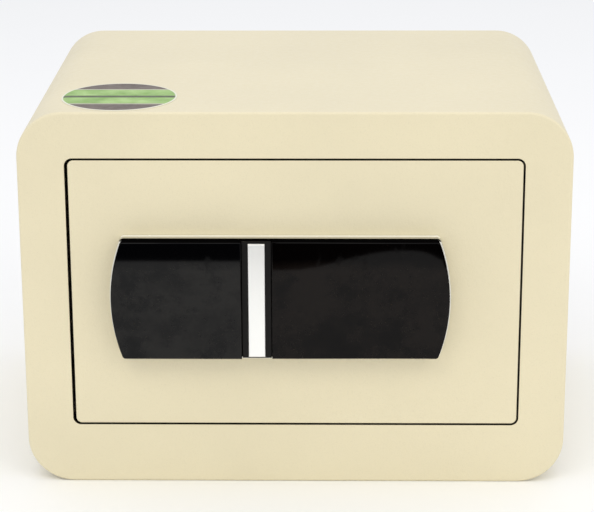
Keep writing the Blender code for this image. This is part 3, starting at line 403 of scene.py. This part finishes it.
class Paint:
    """A Principled material with a few short ways to add noise to it."""

    def __init__(self, name, colour, roughness, metallic=0.0):
        self.material = bpy.data.materials.new(name)
        self.material.use_nodes = True
        self.tree = self.material.node_tree
        self.shader = self.tree.nodes["Principled BSDF"]
        self.shader.inputs["Base Color"].default_value = colour
        self.shader.inputs["Roughness"].default_value = roughness
        self.shader.inputs["Metallic"].default_value = metallic
        self.coordinates = self.tree.nodes.new("ShaderNodeTexCoord")
        self.bumps = []

    def link(self, output, target):
        self.tree.links.new(output, target)

    def stretched(self, scale):
        mapping = self.tree.nodes.new("ShaderNodeMapping")
        mapping.inputs["Scale"].default_value = scale
        self.link(self.coordinates.outputs["Object"], mapping.inputs["Vector"])
        return mapping.outputs["Vector"]

    def noise(self, scale, detail=2.0, stretch=None, roughness=0.5):
        """Noise at a scale per metre. A factor under 1 in stretch draws it out along that axis."""
        texture = self.tree.nodes.new("ShaderNodeTexNoise")
        texture.inputs["Scale"].default_value = scale
        texture.inputs["Detail"].default_value = detail
        texture.inputs["Roughness"].default_value = roughness
        source = self.stretched(stretch) if stretch else self.coordinates.outputs["Object"]
        self.link(source, texture.inputs["Vector"])
        return texture.outputs["Fac"]

    def ranged(self, value, low, high, start=0.3, end=0.7):
        """Maps start to end onto low to high, and holds the ends beyond them."""
        node = self.tree.nodes.new("ShaderNodeMapRange")
        node.inputs["From Min"].default_value = start
        node.inputs["From Max"].default_value = end
        node.inputs["To Min"].default_value = low
        node.inputs["To Max"].default_value = high
        self.link(value, node.inputs["Value"])
        return node.outputs["Result"]

    def blended(self, factor, first, second):
        """Mixes two colours, each a value or another node's output."""
        node = self.tree.nodes.new("ShaderNodeMix")
        node.data_type = "RGBA"
        self.link(factor, node.inputs["Factor"])
        for key, colour in (("A", first), ("B", second)):
            socket = next(s for s in node.inputs if s.name == key and s.type == "RGBA")
            if isinstance(colour, tuple):
                socket.default_value = colour
            else:
                self.link(colour, socket)
        return next(s for s in node.outputs if s.type == "RGBA")

    def times(self, first, second):
        node = self.tree.nodes.new("ShaderNodeMath")
        node.operation = "MULTIPLY"
        self.link(first, node.inputs[0])
        self.link(second, node.inputs[1])
        return node.outputs["Value"]

    def coloured(self, output):
        self.link(output, self.shader.inputs["Base Color"])

    def roughened(self, output):
        self.link(output, self.shader.inputs["Roughness"])

    def bumped(self, height, strength, distance):
        bump = self.tree.nodes.new("ShaderNodeBump")
        bump.inputs["Strength"].default_value = strength
        bump.inputs["Distance"].default_value = distance
        self.link(height, bump.inputs["Height"])
        if self.bumps:
            self.link(self.bumps[-1].outputs["Normal"], bump.inputs["Normal"])
        self.bumps.append(bump)
        self.link(bump.outputs["Normal"], self.shader.inputs["Normal"])


# ---------------------------------------------------------------- materials


def powder_coat():
    """Cream powder coat: a fine grain with darker specks, over a slow change of tone."""
    cream = linear(227, 217, 186)
    paint = Paint("cream_powder_coat", cream, 0.5)
    cloud = paint.ranged(paint.noise(9.0, 3.0), 0.0, 1.0)
    grain = paint.noise(1100.0, 2.0)
    mottled = paint.blended(cloud, shaded(cream, 0.965), shaded(cream, 1.02))
    speckle = paint.ranged(grain, 0.0, 0.5, 0.55, 0.75)
    paint.coloured(paint.blended(speckle, mottled, shaded(cream, 0.90)))
    paint.roughened(paint.ranged(paint.noise(260.0), 0.38, 0.52))
    paint.bumped(grain, 0.6, 0.16 * MM)
    paint.bumped(paint.noise(330.0, 2.0), 0.5, 0.3 * MM)
    return paint.material


def rim_and_painted_highlight():
    """A pale rim round the front of the panel, partly its own colour and partly a painted highlight, and
    a painted highlight along the back of its top.
    """
    tone = linear(252, 250, 240)
    paint = Paint("pale_rim_painted_highlight", tone, 0.22)
    paint.coloured(paint.blended(paint.noise(50.0, 3.0), shaded(tone, 0.95), tone))
    paint.roughened(paint.ranged(paint.noise(300.0), 0.18, 0.28))
    return paint.material


def panel_silver():
    """The plated sides of the panel."""
    tone = linear(206, 204, 196)
    paint = Paint("satin_silver_plating", tone, 0.4, 0.85)
    paint.coloured(paint.blended(paint.noise(30.0, 3.0), shaded(tone, 0.94), tone))
    paint.roughened(paint.ranged(paint.noise(400.0), 0.34, 0.46))
    paint.bumped(paint.noise(1500.0), 0.06, 0.05 * MM)
    return paint.material


def black_gloss(name, tone, gloss, haze_and_reflection, blotch):
    """Polished black acrylic with smudges, lightened below its upper edge by a painted reflection of the
    pale floor.
    """
    paint = Paint(name, tone, 0.04)
    paint.shader.inputs["IOR"].default_value = 1.45
    paint.shader.inputs["Specular IOR Level"].default_value = gloss
    split = paint.tree.nodes.new("ShaderNodeSeparateXYZ")
    paint.link(paint.coordinates.outputs["Object"], split.inputs["Vector"])
    # painted reflection: the smudges are lightened only low down, where they would scatter the pale
    # floor's light
    reflects_floor = paint.ranged(split.outputs["Z"], 1.0, 0.0, HAZE_TOP - HAZE_FADE, HAZE_TOP)
    cloud = paint.ranged(paint.noise(24.0, 6.0, (1.0, 1.0, 1.2), 0.66), 1.0, 0.15, 0.46, 0.66)
    spots = paint.ranged(paint.noise(blotch, 7.0, (1.0, 1.0, 1.1), 0.72), 0.2, 1.0, 0.38, 0.50)
    marks = paint.times(paint.times(cloud, spots), reflects_floor)
    # the smudges' tone is partly real haze and partly painted reflection
    paint.coloured(paint.blended(marks, tone, haze_and_reflection))
    smudge = paint.ranged(paint.noise(17.0, 5.0, (1.3, 1.0, 0.8), 0.68), 0.0, 1.0, 0.58, 0.72)
    paint.roughened(paint.ranged(smudge, 0.035, 0.22, 0.0, 1.0))
    return paint.material


def gap_painted_shade():
    """The cut edges of the doorway and the door, dark as painted shade in the door gap."""
    tone = linear(34, 27, 16)
    paint = Paint("gap_painted_shade", tone, 0.8)
    paint.shader.inputs["Specular IOR Level"].default_value = 0.2
    paint.coloured(paint.blended(paint.noise(300.0, 3.0), shaded(tone, 0.7), shaded(tone, 1.4)))
    paint.bumped(paint.noise(900.0), 0.2, 0.08 * MM)
    return paint.material


def black_plastic():
    """Fine-textured black moulded plastic."""
    tone = linear(17, 15, 14)
    paint = Paint("black_moulded_plastic", tone, 0.4)
    paint.shader.inputs["Specular IOR Level"].default_value = 0.2
    paint.coloured(paint.blended(paint.noise(60.0, 3.0), shaded(tone, 0.8), shaded(tone, 1.25)))
    paint.roughened(paint.ranged(paint.noise(700.0), 0.34, 0.48))
    paint.bumped(paint.noise(1600.0), 0.12, 0.06 * MM)
    return paint.material


def matt_black():
    """The plates' sides and the panel's face and top edge, which reflect almost nothing."""
    tone = linear(8, 7, 7)
    paint = Paint("matt_black_edge", tone, 0.8)
    paint.shader.inputs["Specular IOR Level"].default_value = 0.0
    paint.coloured(paint.blended(paint.noise(90.0, 3.0), shaded(tone, 0.7), shaded(tone, 1.3)))
    return paint.material


def satin_metal():
    """The bar's pale satin metal, drawn along its length."""
    tone = linear(253, 253, 251)
    paint = Paint("satin_anodised_metal", tone, 0.24, 0.5)
    streak = paint.noise(900.0, 3.0, (1.0, 1.0, 0.02))
    paint.coloured(paint.blended(streak, shaded(tone, 0.97), tone))
    paint.roughened(paint.ranged(streak, 0.23, 0.26))
    return paint.material


def plated_metal(name, tone, low, high, stretch):
    """Bare or plated metal with a roughness between low and high."""
    paint = Paint(name, tone, (low + high) / 2, 1.0)
    streak = paint.noise(420.0, 4.0, stretch)
    cloud = paint.ranged(paint.noise(25.0, 4.0), 0.0, 1.0)
    paint.coloured(paint.blended(cloud, shaded(tone, 0.82), shaded(tone, 1.05)))
    paint.roughened(paint.ranged(streak, low, high))
    paint.bumped(streak, 0.08, 0.05 * MM)
    return paint.material


def moulded(name, tone, low, high):
    """Moulded plastic or rubber with a roughness between low and high."""
    paint = Paint(name, tone, (low + high) / 2)
    paint.coloured(paint.blended(paint.noise(45.0, 3.0), shaded(tone, 0.9), shaded(tone, 1.08)))
    paint.roughened(paint.ranged(paint.noise(500.0), low, high))
    paint.bumped(paint.noise(1200.0), 0.12, 0.06 * MM)
    return paint.material


def felt():
    """Grey needled felt, with fibres drawn out from front to back, and tufts."""
    tone = linear(62, 62, 66)
    paint = Paint("needled_felt", tone, 0.95)
    paint.shader.inputs["Sheen Weight"].default_value = 0.35
    fibres = paint.noise(900.0, 6.0, (1.0, 0.35, 1.0), 0.7)
    tufts = paint.noise(150.0, 4.0)
    paint.coloured(paint.blended(paint.ranged(fibres, 0.0, 1.0), shaded(tone, 0.55), shaded(tone, 1.7)))
    paint.bumped(fibres, 0.8, 0.5 * MM)
    paint.bumped(tufts, 0.4, 0.8 * MM)
    return paint.material


def circuit_board():
    """Green solder mask with small paler, raised pads."""
    green = linear(20, 84, 48)
    paint = Paint("circuit_board_mask", green, 0.35)
    cells = paint.tree.nodes.new("ShaderNodeTexVoronoi")
    cells.distance = "MANHATTAN"
    cells.inputs["Scale"].default_value = 260.0
    paint.link(paint.coordinates.outputs["Object"], cells.inputs["Vector"])
    pads = paint.ranged(cells.outputs["Distance"], 1.0, 0.0, 0.10, 0.16)
    paint.coloured(paint.blended(pads, green, linear(70, 140, 84)))
    paint.bumped(pads, 0.3, 0.05 * MM)
    return paint.material


def make_materials():
    upright_grain = (1.0, 1.0, 0.05)
    return {
        "powder_coat": powder_coat(),
        "panel_silver": panel_silver(),
        "rim_and_painted_highlight": rim_and_painted_highlight(),
        "gap_painted_shade": gap_painted_shade(),
        "black_gloss": black_gloss(
            "black_gloss_plate", tone=linear(3, 3, 4), gloss=0.22, haze_and_reflection=linear(27, 26, 25), blotch=52.0
        ),
        "lens_gloss": black_gloss(
            "black_gloss_lens", tone=linear(3, 2, 2), gloss=0.155, haze_and_reflection=linear(20, 16, 14), blotch=40.0
        ),
        "black_plastic": black_plastic(),
        "matt_black": matt_black(),
        "satin_metal": satin_metal(),
        "steel": plated_metal("brushed_steel", linear(176, 178, 180), 0.26, 0.42, upright_grain),
        "zinc": plated_metal("zinc_plate", linear(196, 194, 180), 0.24, 0.40, (1.0, 1.0, 1.0)),
        "brass": plated_metal("machined_brass", linear(214, 178, 104), 0.22, 0.36, upright_grain),
        "rubber": moulded("black_rubber", linear(34, 33, 32), 0.65, 0.85),
        "white_plastic": moulded("white_nylon", linear(222, 220, 212), 0.35, 0.5),
        "green_plastic": moulded("green_plastic", linear(86, 150, 70), 0.3, 0.45),
        "cell_wrap": moulded("cell_sleeve", linear(36, 62, 104), 0.22, 0.34),
        "felt": felt(),
        "circuit_board": circuit_board(),
        "badge_film": badge_film(),
    }


def badge_film():
    """A round printed badge in a pale rim: two pale-edged green bands with a dark line between them."""
    low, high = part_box("badge")
    radius = (high.y - low.y) / 2
    centre = Vector((low.x + radius, low.y + radius, high.z))
    grey = linear(104, 93, 86)
    paint = Paint("badge_film", grey, 0.45)
    paint.shader.inputs["Specular IOR Level"].default_value = 0.3
    moved = paint.tree.nodes.new("ShaderNodeMapping")
    moved.inputs["Location"].default_value = -centre / radius
    moved.inputs["Scale"].default_value = (1 / radius, 1 / radius, 1 / radius)
    paint.link(paint.coordinates.outputs["Object"], moved.inputs["Vector"])
    split = paint.tree.nodes.new("ShaderNodeSeparateXYZ")
    paint.link(moved.outputs["Vector"], split.inputs["Vector"])

    def worked(operation, first, second=None):
        node = paint.tree.nodes.new("ShaderNodeMath")
        node.operation = operation
        for socket, value in zip(node.inputs, (first, second)):
            if isinstance(value, (int, float)):
                socket.default_value = value
            elif value is not None:
                paint.link(value, socket)
        return node.outputs["Value"]

    across = split.outputs["X"]
    along = split.outputs["Y"]
    across_squared = worked("MULTIPLY", across, across)
    along_squared = worked("MULTIPLY", along, along)
    reach = worked("SQRT", worked("ADD", across_squared, along_squared))
    away = worked("ABSOLUTE", along)
    grain = paint.ranged(paint.noise(60.0, 4.0), 0.0, 1.0)
    dark = paint.blended(grain, shaded(grey, 0.75), shaded(grey, 1.25))
    green = paint.blended(grain, linear(126, 166, 84), linear(172, 204, 130))
    in_band = paint.ranged(away, 1.0, 0.0, BAND_REACH - PRINT_BLUR, BAND_REACH + PRINT_BLUR)
    banded = paint.blended(in_band, dark, green)
    in_line = paint.ranged(away, 1.0, 0.0, LINE_REACH - PRINT_BLUR, LINE_REACH + PRINT_BLUR)
    lined = paint.blended(in_line, banded, linear(84, 92, 66))
    at_edge = worked("SUBTRACT", 1.0, worked("ABSOLUTE", worked("SUBTRACT", away, BAND_EDGE)))
    edged = paint.blended(paint.ranged(at_edge, 0.0, 1.0, 0.975, 0.990), lined, linear(206, 204, 184))
    rim = paint.ranged(reach, 0.0, 1.0, 0.965, 0.98)
    paint.coloured(paint.blended(rim, edged, linear(232, 230, 214)))
    paint.roughened(paint.ranged(paint.noise(200.0), 0.38, 0.52))
    return paint.material


# ---------------------------------------------------------------- painted body


def doorway_outline():
    """The hole in the front frame: the door and the gap round it, which is wider at the hinges."""
    low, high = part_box("door_plate")
    left = low.x - HINGE_GAP
    right = high.x + DOOR_GAP
    return rounded_rectangle(left, right, low.z - DOOR_GAP, high.z + DOOR_GAP, DOORWAY_CORNER)


def build_shell(paint):
    """The wrap and the front frame as one painted shell, a closed loop of rings round the sheet metal."""
    low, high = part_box("body_wrap")
    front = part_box("front_frame")[0].y
    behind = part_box("front_frame")[1].y
    outer = rounded_rectangle(low.x, high.x, low.z, high.z, SHELL_CORNER)
    inner = offset(outer, SHELL_WALL)
    doorway = doorway_outline()
    rear_turn = quarter_turn(REAR_EDGE, REAR_EDGE_STEPS)
    front_turn = reversed(quarter_turn(SHELL_EDGE, SHELL_EDGE_STEPS))
    rings = [(offset(outer, inset), high.y - depth) for inset, depth in rear_turn]
    rings += [(offset(outer, inset), front + depth) for inset, depth in front_turn]
    rings.append((offset(outer, SHELL_EDGE + HOLDING), front))
    rings.append((offset(doorway, -DOORWAY_EDGE - HOLDING), front))
    rings += [(offset(doorway, -inset), front + depth) for inset, depth in quarter_turn(DOORWAY_EDGE)]
    rings += [(doorway, behind), (inner, behind), (inner, high.y)]
    mesh_data = bmesh.new()
    made = [add_ring(mesh_data, "Y", outline, along) for outline, along in rings]
    for first, second in zip(made, made[1:] + made[:1]):
        join_rings(mesh_data, first, second)

    door_low, door_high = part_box("door_plate")

    def shell_finish(face):
        """1 on the doorway's cut edge, dark as painted shade in the gap, 0 elsewhere."""
        middle = face.calc_center_median()
        level = door_low.z - SHELL_WALL < middle.z < door_high.z + SHELL_WALL
        near = abs(middle.x) < door_high.x + SHELL_WALL
        return int(level and near and abs(face.normal.y) < SIDE_LEAN)

    shell = finished(
        "safe_shell",
        mesh_data,
        paint["powder_coat"],
        "housing",
        ("body_wrap", "front_frame"),
        (paint["gap_painted_shade"],),
        shell_finish,
    )


def build_badge(paint):
    """A round film, made in rings, that follows the flat top and the start of its rounded corner."""
    low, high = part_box("badge")
    body_low, body_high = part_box("body_wrap")
    radius = (high.y - low.y) / 2
    centre = Vector((low.x + radius, low.y + radius))
    bend = body_high.x - SHELL_CORNER

    def top_at(x, rise):
        """How high the film lies at x, where it stands off the top by rise."""
        past = max(0.0, abs(x) - bend)
        reach = SHELL_CORNER + rise
        return body_high.z - SHELL_CORNER + math.sqrt(reach * reach - past * past)

    mesh_data = bmesh.new()
    lift = high.z - body_high.z
    sections = [(ring / BADGE_RINGS, BADGE_GLUE) for ring in range(1, BADGE_RINGS + 1)]
    sections += [(1.0, lift - BADGE_BEVEL), (1.0 - BADGE_BEVEL / radius, lift)]
    sections += [(ring / BADGE_RINGS, lift) for ring in range(BADGE_RINGS - 1, 0, -1)]
    rings = []
    for share, rise in sections:
        ring = []
        for x, y in circle(centre.x, centre.y, radius * share, BADGE_STEPS):
            ring.append(mesh_data.verts.new((x, y, top_at(x, rise))))
        rings.append(ring)
    for first, second in zip(rings, rings[1:]):
        join_rings(mesh_data, first, second)
    for ring, rise in ((rings[0], BADGE_GLUE), (rings[-1], lift)):
        middle = mesh_data.verts.new((centre.x, centre.y, top_at(centre.x, rise)))
        for index, vert in enumerate(ring):
            mesh_data.faces.new((middle, vert, ring[(index + 1) % len(ring)]))
    badge = finished("round_badge", mesh_data, paint["badge_film"], "housing", ("badge",))


# ---------------------------------------------------------------- door and control panel


def build_door_skin(paint):
    """The door plate, with holes for the lock, the power socket and the cable's grommet."""
    low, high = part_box("door_plate")
    outline = rounded_rectangle(low.x, high.x, low.z, high.z, DOORWAY_CORNER - DOOR_GAP)
    key_low, key_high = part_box("key_cylinder")
    socket_low, socket_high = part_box("power_socket")
    grommet_low, grommet_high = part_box("cable_grommet")
    key = (key_low + key_high) / 2
    socket = (socket_low + socket_high) / 2
    holes = [
        circle(key.x, key.z, (key_high.x - key_low.x) / 2 + HOLE_CLEARANCE),
        circle(socket.x, socket.z, (socket_high.x - socket_low.x) / 2 + HOLE_CLEARANCE),
        rounded_rectangle(
            grommet_low.x - HOLE_CLEARANCE,
            grommet_high.x + HOLE_CLEARANCE,
            grommet_low.z - HOLE_CLEARANCE,
            grommet_high.z + HOLE_CLEARANCE,
            GROMMET_CORNER,
            HOLE_CORNER_STEPS,
        ),
    ]
    slab(
        "door_skin",
        paint["powder_coat"],
        "door",
        ("door_plate",),
        "Y",
        low.y,
        high.y,
        outline,
        holes,
        near_edge=DOOR_EDGE,
        finishes=(paint["gap_painted_shade"],),
        # the door's edges are dark as painted shade in the gap
        finish_of=lambda face: int(abs(face.normal.y) < SIDE_LEAN),
    )


def build_panel(paint):
    """The panel's base, with the bay of the lock and the slots that the cover's ribs run in."""
    low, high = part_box("panel_base")
    ends = bulging_end(low, high, 1) + bulging_end(low, high, -1)
    outline = softened(ends, PANEL_CORNER + PANEL_RIM)
    bay = rounded_rectangle(BAY_LEFT, BAY_RIGHT, BAY_BOTTOM, BAY_TOP, BAY_CORNER, HOLE_CORNER_STEPS)
    slots = []
    for x in SLOT_XS:
        sides = (x - SLOT_WIDTH / 2, x + SLOT_WIDTH / 2)
        slots.append(rounded_rectangle(*sides, SLOT_BOTTOM, SLOT_TOP, SLOT_CORNER, SLOT_CORNER_STEPS))

    black_end = low.y + TOP_BLACK
    highlight_start = high.y - TOP_HIGHLIGHT

    def panel_finish(face):
        """0 silver on the sides, 1 on the bright rims of painted highlight, 2 on the black face and the
        front of the top.
        """
        middle = face.calc_center_median()
        on_front = middle.y < low.y + PANEL_EDGE
        faces_front = face.normal.y < FRONT_LEAN
        if face.normal.z > TOP_LEAN:
            # the back strip of the top takes the painted highlight
            return 2 if middle.y < black_end else int(middle.y > highlight_start)
        if len(face.verts) == 3 and faces_front:
            return 2
        if on_front and middle.z > high.z - TOP_BORDER:
            return 2 * int(faces_front)
        # the front edge's pale rim is partly its own colour and partly a painted highlight
        return int(on_front)

    slab(
        "panel_shell",
        paint["panel_silver"],
        "door",
        ("panel_base",),
        "Y",
        low.y,
        high.y,
        outline,
        [bay] + slots,
        near_edge=PANEL_EDGE,
        border=PANEL_BORDER,
        belts=(black_end, highlight_start),
        finishes=(paint["rim_and_painted_highlight"], paint["matt_black"]),
        finish_of=panel_finish,
    )


def gloss_plate(name, materials, body, replaced, outline, near, far, twist=None):
    """A plate with a glossy front, a rounded front edge and matt sides.

    Its front can be slightly twisted along its length, as moulded.
    """
    mesh_data = bmesh.new()
    sections = [(inset, near + depth) for inset, depth in quarter_turn(PLATE_EDGE, PLATE_EDGE_STEPS)]
    sections.append((0.0, far))
    rings = [add_ring(mesh_data, "Y", offset(outline, inset), along) for inset, along in sections]
    for first, second in zip(rings, rings[1:]):
        join_rings(mesh_data, first, second)
    cap_rings(mesh_data, [rings[-1]])
    cap_rings(mesh_data, [rings[0]])
    left, right = min(point[0] for point in outline), max(point[0] for point in outline)
    bottom, top = min(point[1] for point in outline), max(point[1] for point in outline)
    if twist:
        for cut in range(1, TWIST_CUTS):
            place = Vector((left + (right - left) * cut / TWIST_CUTS, 0, 0))
            everything = list(mesh_data.verts) + list(mesh_data.edges) + list(mesh_data.faces)
            bmesh.ops.bisect_plane(mesh_data, geom=everything, plane_co=place, plane_no=(1, 0, 0))
        for vert in mesh_data.verts:
            along = (vert.co.x - left) / (right - left) * 2 - 1
            frontness = (far - vert.co.y) / (far - near)
            vert.co.y -= frontness * twist(along) * (vert.co.z - (bottom + top) / 2)
    gloss, matt = materials

    def plate_finish(face):
        """1 on the matt sides, 0 elsewhere."""
        return int(abs(face.normal.y) < PLATE_SIDE_LEAN)

    plate = finished(name, mesh_data, gloss, body, replaced, (matt,), plate_finish)


def lens_twist(along):
    """The lean of the lens's face, in radians, from its left end (-1) to its right end (+1)."""
    past = along - TWIST_CREST
    wave = math.cos(math.pi * past / TWIST_SPAN) if past < 0 else 1 - TWIST_FALL * past**4
    return TWIST_MIDDLE + TWIST_SWING * wave


def build_plates(paint):
    """The two glossy plates: the sliding cover on the left and the keypad's lens on the right."""
    low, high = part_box("slide_cover")
    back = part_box("panel_base")[0].y - PLATE_BACK_GAP
    inner_end = [(high.x, low.z), (high.x, high.z)]
    left_outline = softened(inner_end + bulging_end(low, high, -1), PANEL_CORNER)
    gloss = (paint["black_gloss"], paint["matt_black"])
    gloss_plate("left_plate", gloss, "front_cover", ("slide_cover",), left_outline, low.y, back)
    low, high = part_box("touch_lens")
    inner_end = [(low.x, high.z), (low.x, low.z)]
    right_outline = softened(inner_end + bulging_end(low, high, 1), PANEL_CORNER)
    lens = (paint["lens_gloss"], paint["matt_black"])
    gloss_plate("right_lens", lens, "door", ("touch_lens",), right_outline, low.y, high.y, lens_twist)


def build_spine(paint):
    """The black channel between the plates, and the bright bar in it."""
    low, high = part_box("spine_strip")
    outline = [(low.x, low.z), (high.x, low.z), (high.x, high.z), (low.x, high.z)]
    slab(
        "spine",
        paint["black_plastic"],
        "door",
        ("spine_strip",),
        "Y",
        low.y,
        high.y,
        outline,
        near_edge=SPINE_EDGE,
    )
    low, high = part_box("trim_bar")
    outline = [(low.x, low.z), (high.x, low.z), (high.x, high.z), (low.x, high.z)]
    slab(
        "bar",
        paint["satin_metal"],
        "door",
        ("trim_bar",),
        "Y",
        low.y,
        high.y,
        outline,
        near_edge=BAR_EDGE,
    )


# ---------------------------------------------------------------- inside


def build_mat(paint):
    """The felt mat, a sheet laid on the floor of the body."""
    low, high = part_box("floor_mat")
    outline = rounded_rectangle(low.x, high.x, low.y, high.y, MAT_CORNER, MAT_CORNER_STEPS)
    mat = slab(
        "felt_mat",
        paint["felt"],
        "housing",
        ("floor_mat",),
        "Z",
        low.z,
        high.z,
        outline,
        near_edge=MAT_EDGE_BELOW,
        far_edge=MAT_EDGE_ABOVE,
    )


def dress_frame(frame, paint):
    """Gives every CAD node that still shows a fine material and softened edges."""
    slots = {part["node"]: part["material_slot"] for part in frame["record"]["subparts"]}
    for name, node in frame["nodes"].items():
        if node.hide_render:
            continue
        node.data.materials.clear()
        node.data.materials.append(paint[slots[name]])
        weld = node.modifiers.new("weld", "WELD")
        weld.merge_threshold = WELD_GAP
        flat = node.modifiers.new("flatten", "DECIMATE")
        flat.decimate_type = "DISSOLVE"
        flat.angle_limit = FLAT_ANGLE
        bevel = node.modifiers.new("soft_edges", "BEVEL")
        bevel.width = SOFT_EDGE
        bevel.segments = SOFT_EDGE_STEPS
        bevel.limit_method = "ANGLE"
        bevel.angle_limit = SMOOTH_ANGLE
        weighted = node.modifiers.new("flat_faces", "WEIGHTED_NORMAL")
        weighted.keep_sharp = True


# ---------------------------------------------------------------- stage


def stage_material(name, colour, roughness):
    """A nearly even surface without a shine."""
    paint = Paint(name, colour, roughness)
    paint.shader.inputs["Specular IOR Level"].default_value = 0.0
    paint.coloured(paint.blended(paint.noise(3.0, 3.0), shaded(colour, 0.985), colour))
    return paint.material


def flat_surface(name, corners, material):
    """One flat face, for the stage."""
    mesh_data = bmesh.new()
    mesh_data.faces.new([mesh_data.verts.new(corner) for corner in corners])
    mesh = bpy.data.meshes.new(name)
    mesh_data.to_mesh(mesh)
    mesh_data.free()
    mesh.materials.append(material)
    surface = bpy.data.objects.new(name, mesh)
    bpy.context.scene.collection.objects.link(surface)
    return surface


def build_floor():
    corners = [(*point, 0.0) for point in circle(0.0, 0.0, FLOOR_RADIUS, FLOOR_STEPS)]
    floor = flat_surface("floor", corners, stage_material("pale_floor", linear(250, 250, 249), 0.6))
    floor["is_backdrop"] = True


def build_flag():
    """A black card lying in front of the safe, seen only in reflections, as a studio flag is."""
    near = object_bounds()[0].y - CARD_AHEAD
    far = near - CARD_DEPTH
    corners = [
        (-CARD_HALF_WIDTH, far, CARD_LIFT),
        (CARD_HALF_WIDTH, far, CARD_LIFT),
        (CARD_HALF_WIDTH, near, CARD_LIFT),
        (-CARD_HALF_WIDTH, near, CARD_LIFT),
    ]
    card = flat_surface("flag", corners, stage_material("black_card", linear(6, 6, 6), 0.9))
    card.visible_camera = False
    card.visible_diffuse = False
    card.visible_shadow = False
    card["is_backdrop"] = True


def area_light(name, place, size, energy, tint):
    """A rectangular light turned towards the safe."""
    light = bpy.data.lights.new(name, "AREA")
    light.shape = "RECTANGLE"
    light.size, light.size_y = size
    light.energy = energy
    light.color = tint
    obj = bpy.data.objects.new(name, light)
    obj.location = place
    direction = Vector(LIGHT_TARGET) - Vector(place)
    obj.rotation_mode = "QUATERNION"
    obj.rotation_quaternion = direction.to_track_quat("-Z", "Y")
    bpy.context.scene.collection.objects.link(obj)


def build_lights():
    """An even pale world with a warm key and fill in front and a cool light above."""
    world = bpy.data.worlds.new("studio")
    bpy.context.scene.world = world
    world.use_nodes = True
    background = world.node_tree.nodes["Background"]
    background.inputs["Color"].default_value = WORLD_COLOUR
    background.inputs["Strength"].default_value = WORLD_STRENGTH
    area_light("key", place=(-0.6, -1.7, 2.2), size=(1.6, 1.2), energy=12, tint=WARM)
    area_light("fill", place=(1.4, -1.6, 1.6), size=(1.4, 1.4), energy=9, tint=WARM)
    area_light("top", place=(0.0, 0.1, 2.2), size=(1.8, 1.8), energy=6, tint=COOL)
    bpy.context.scene.view_settings.view_transform = "Standard"


def build_camera():
    camera = bpy.data.cameras.new("camera")
    camera.sensor_width = CAMERA_SENSOR
    camera.lens = CAMERA_LENS
    camera.shift_y = CAMERA_SHIFT_Y
    obj = bpy.data.objects.new("camera", camera)
    obj.location = CAMERA_PLACE
    aim = Euler((math.pi / 2 - CAMERA_PITCH, 0, -CAMERA_YAW)).to_quaternion()
    obj.rotation_mode = "QUATERNION"
    obj.rotation_quaternion = aim @ Quaternion((0, 0, 1), CAMERA_ROLL)
    bpy.context.scene.collection.objects.link(obj)
    bpy.context.scene.camera = obj


def main():
    for obj in list(bpy.data.objects):
        bpy.data.objects.remove(obj, do_unlink=True)
    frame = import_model()
    build_camera()
    paint = make_materials()
    build_shell(paint)
    build_badge(paint)
    build_door_skin(paint)
    build_panel(paint)
    build_plates(paint)
    build_spine(paint)
    build_mat(paint)
    dress_frame(frame, paint)
    build_floor()
    build_flag()
    build_lights()
    bpy.context.view_layer.update()


main()
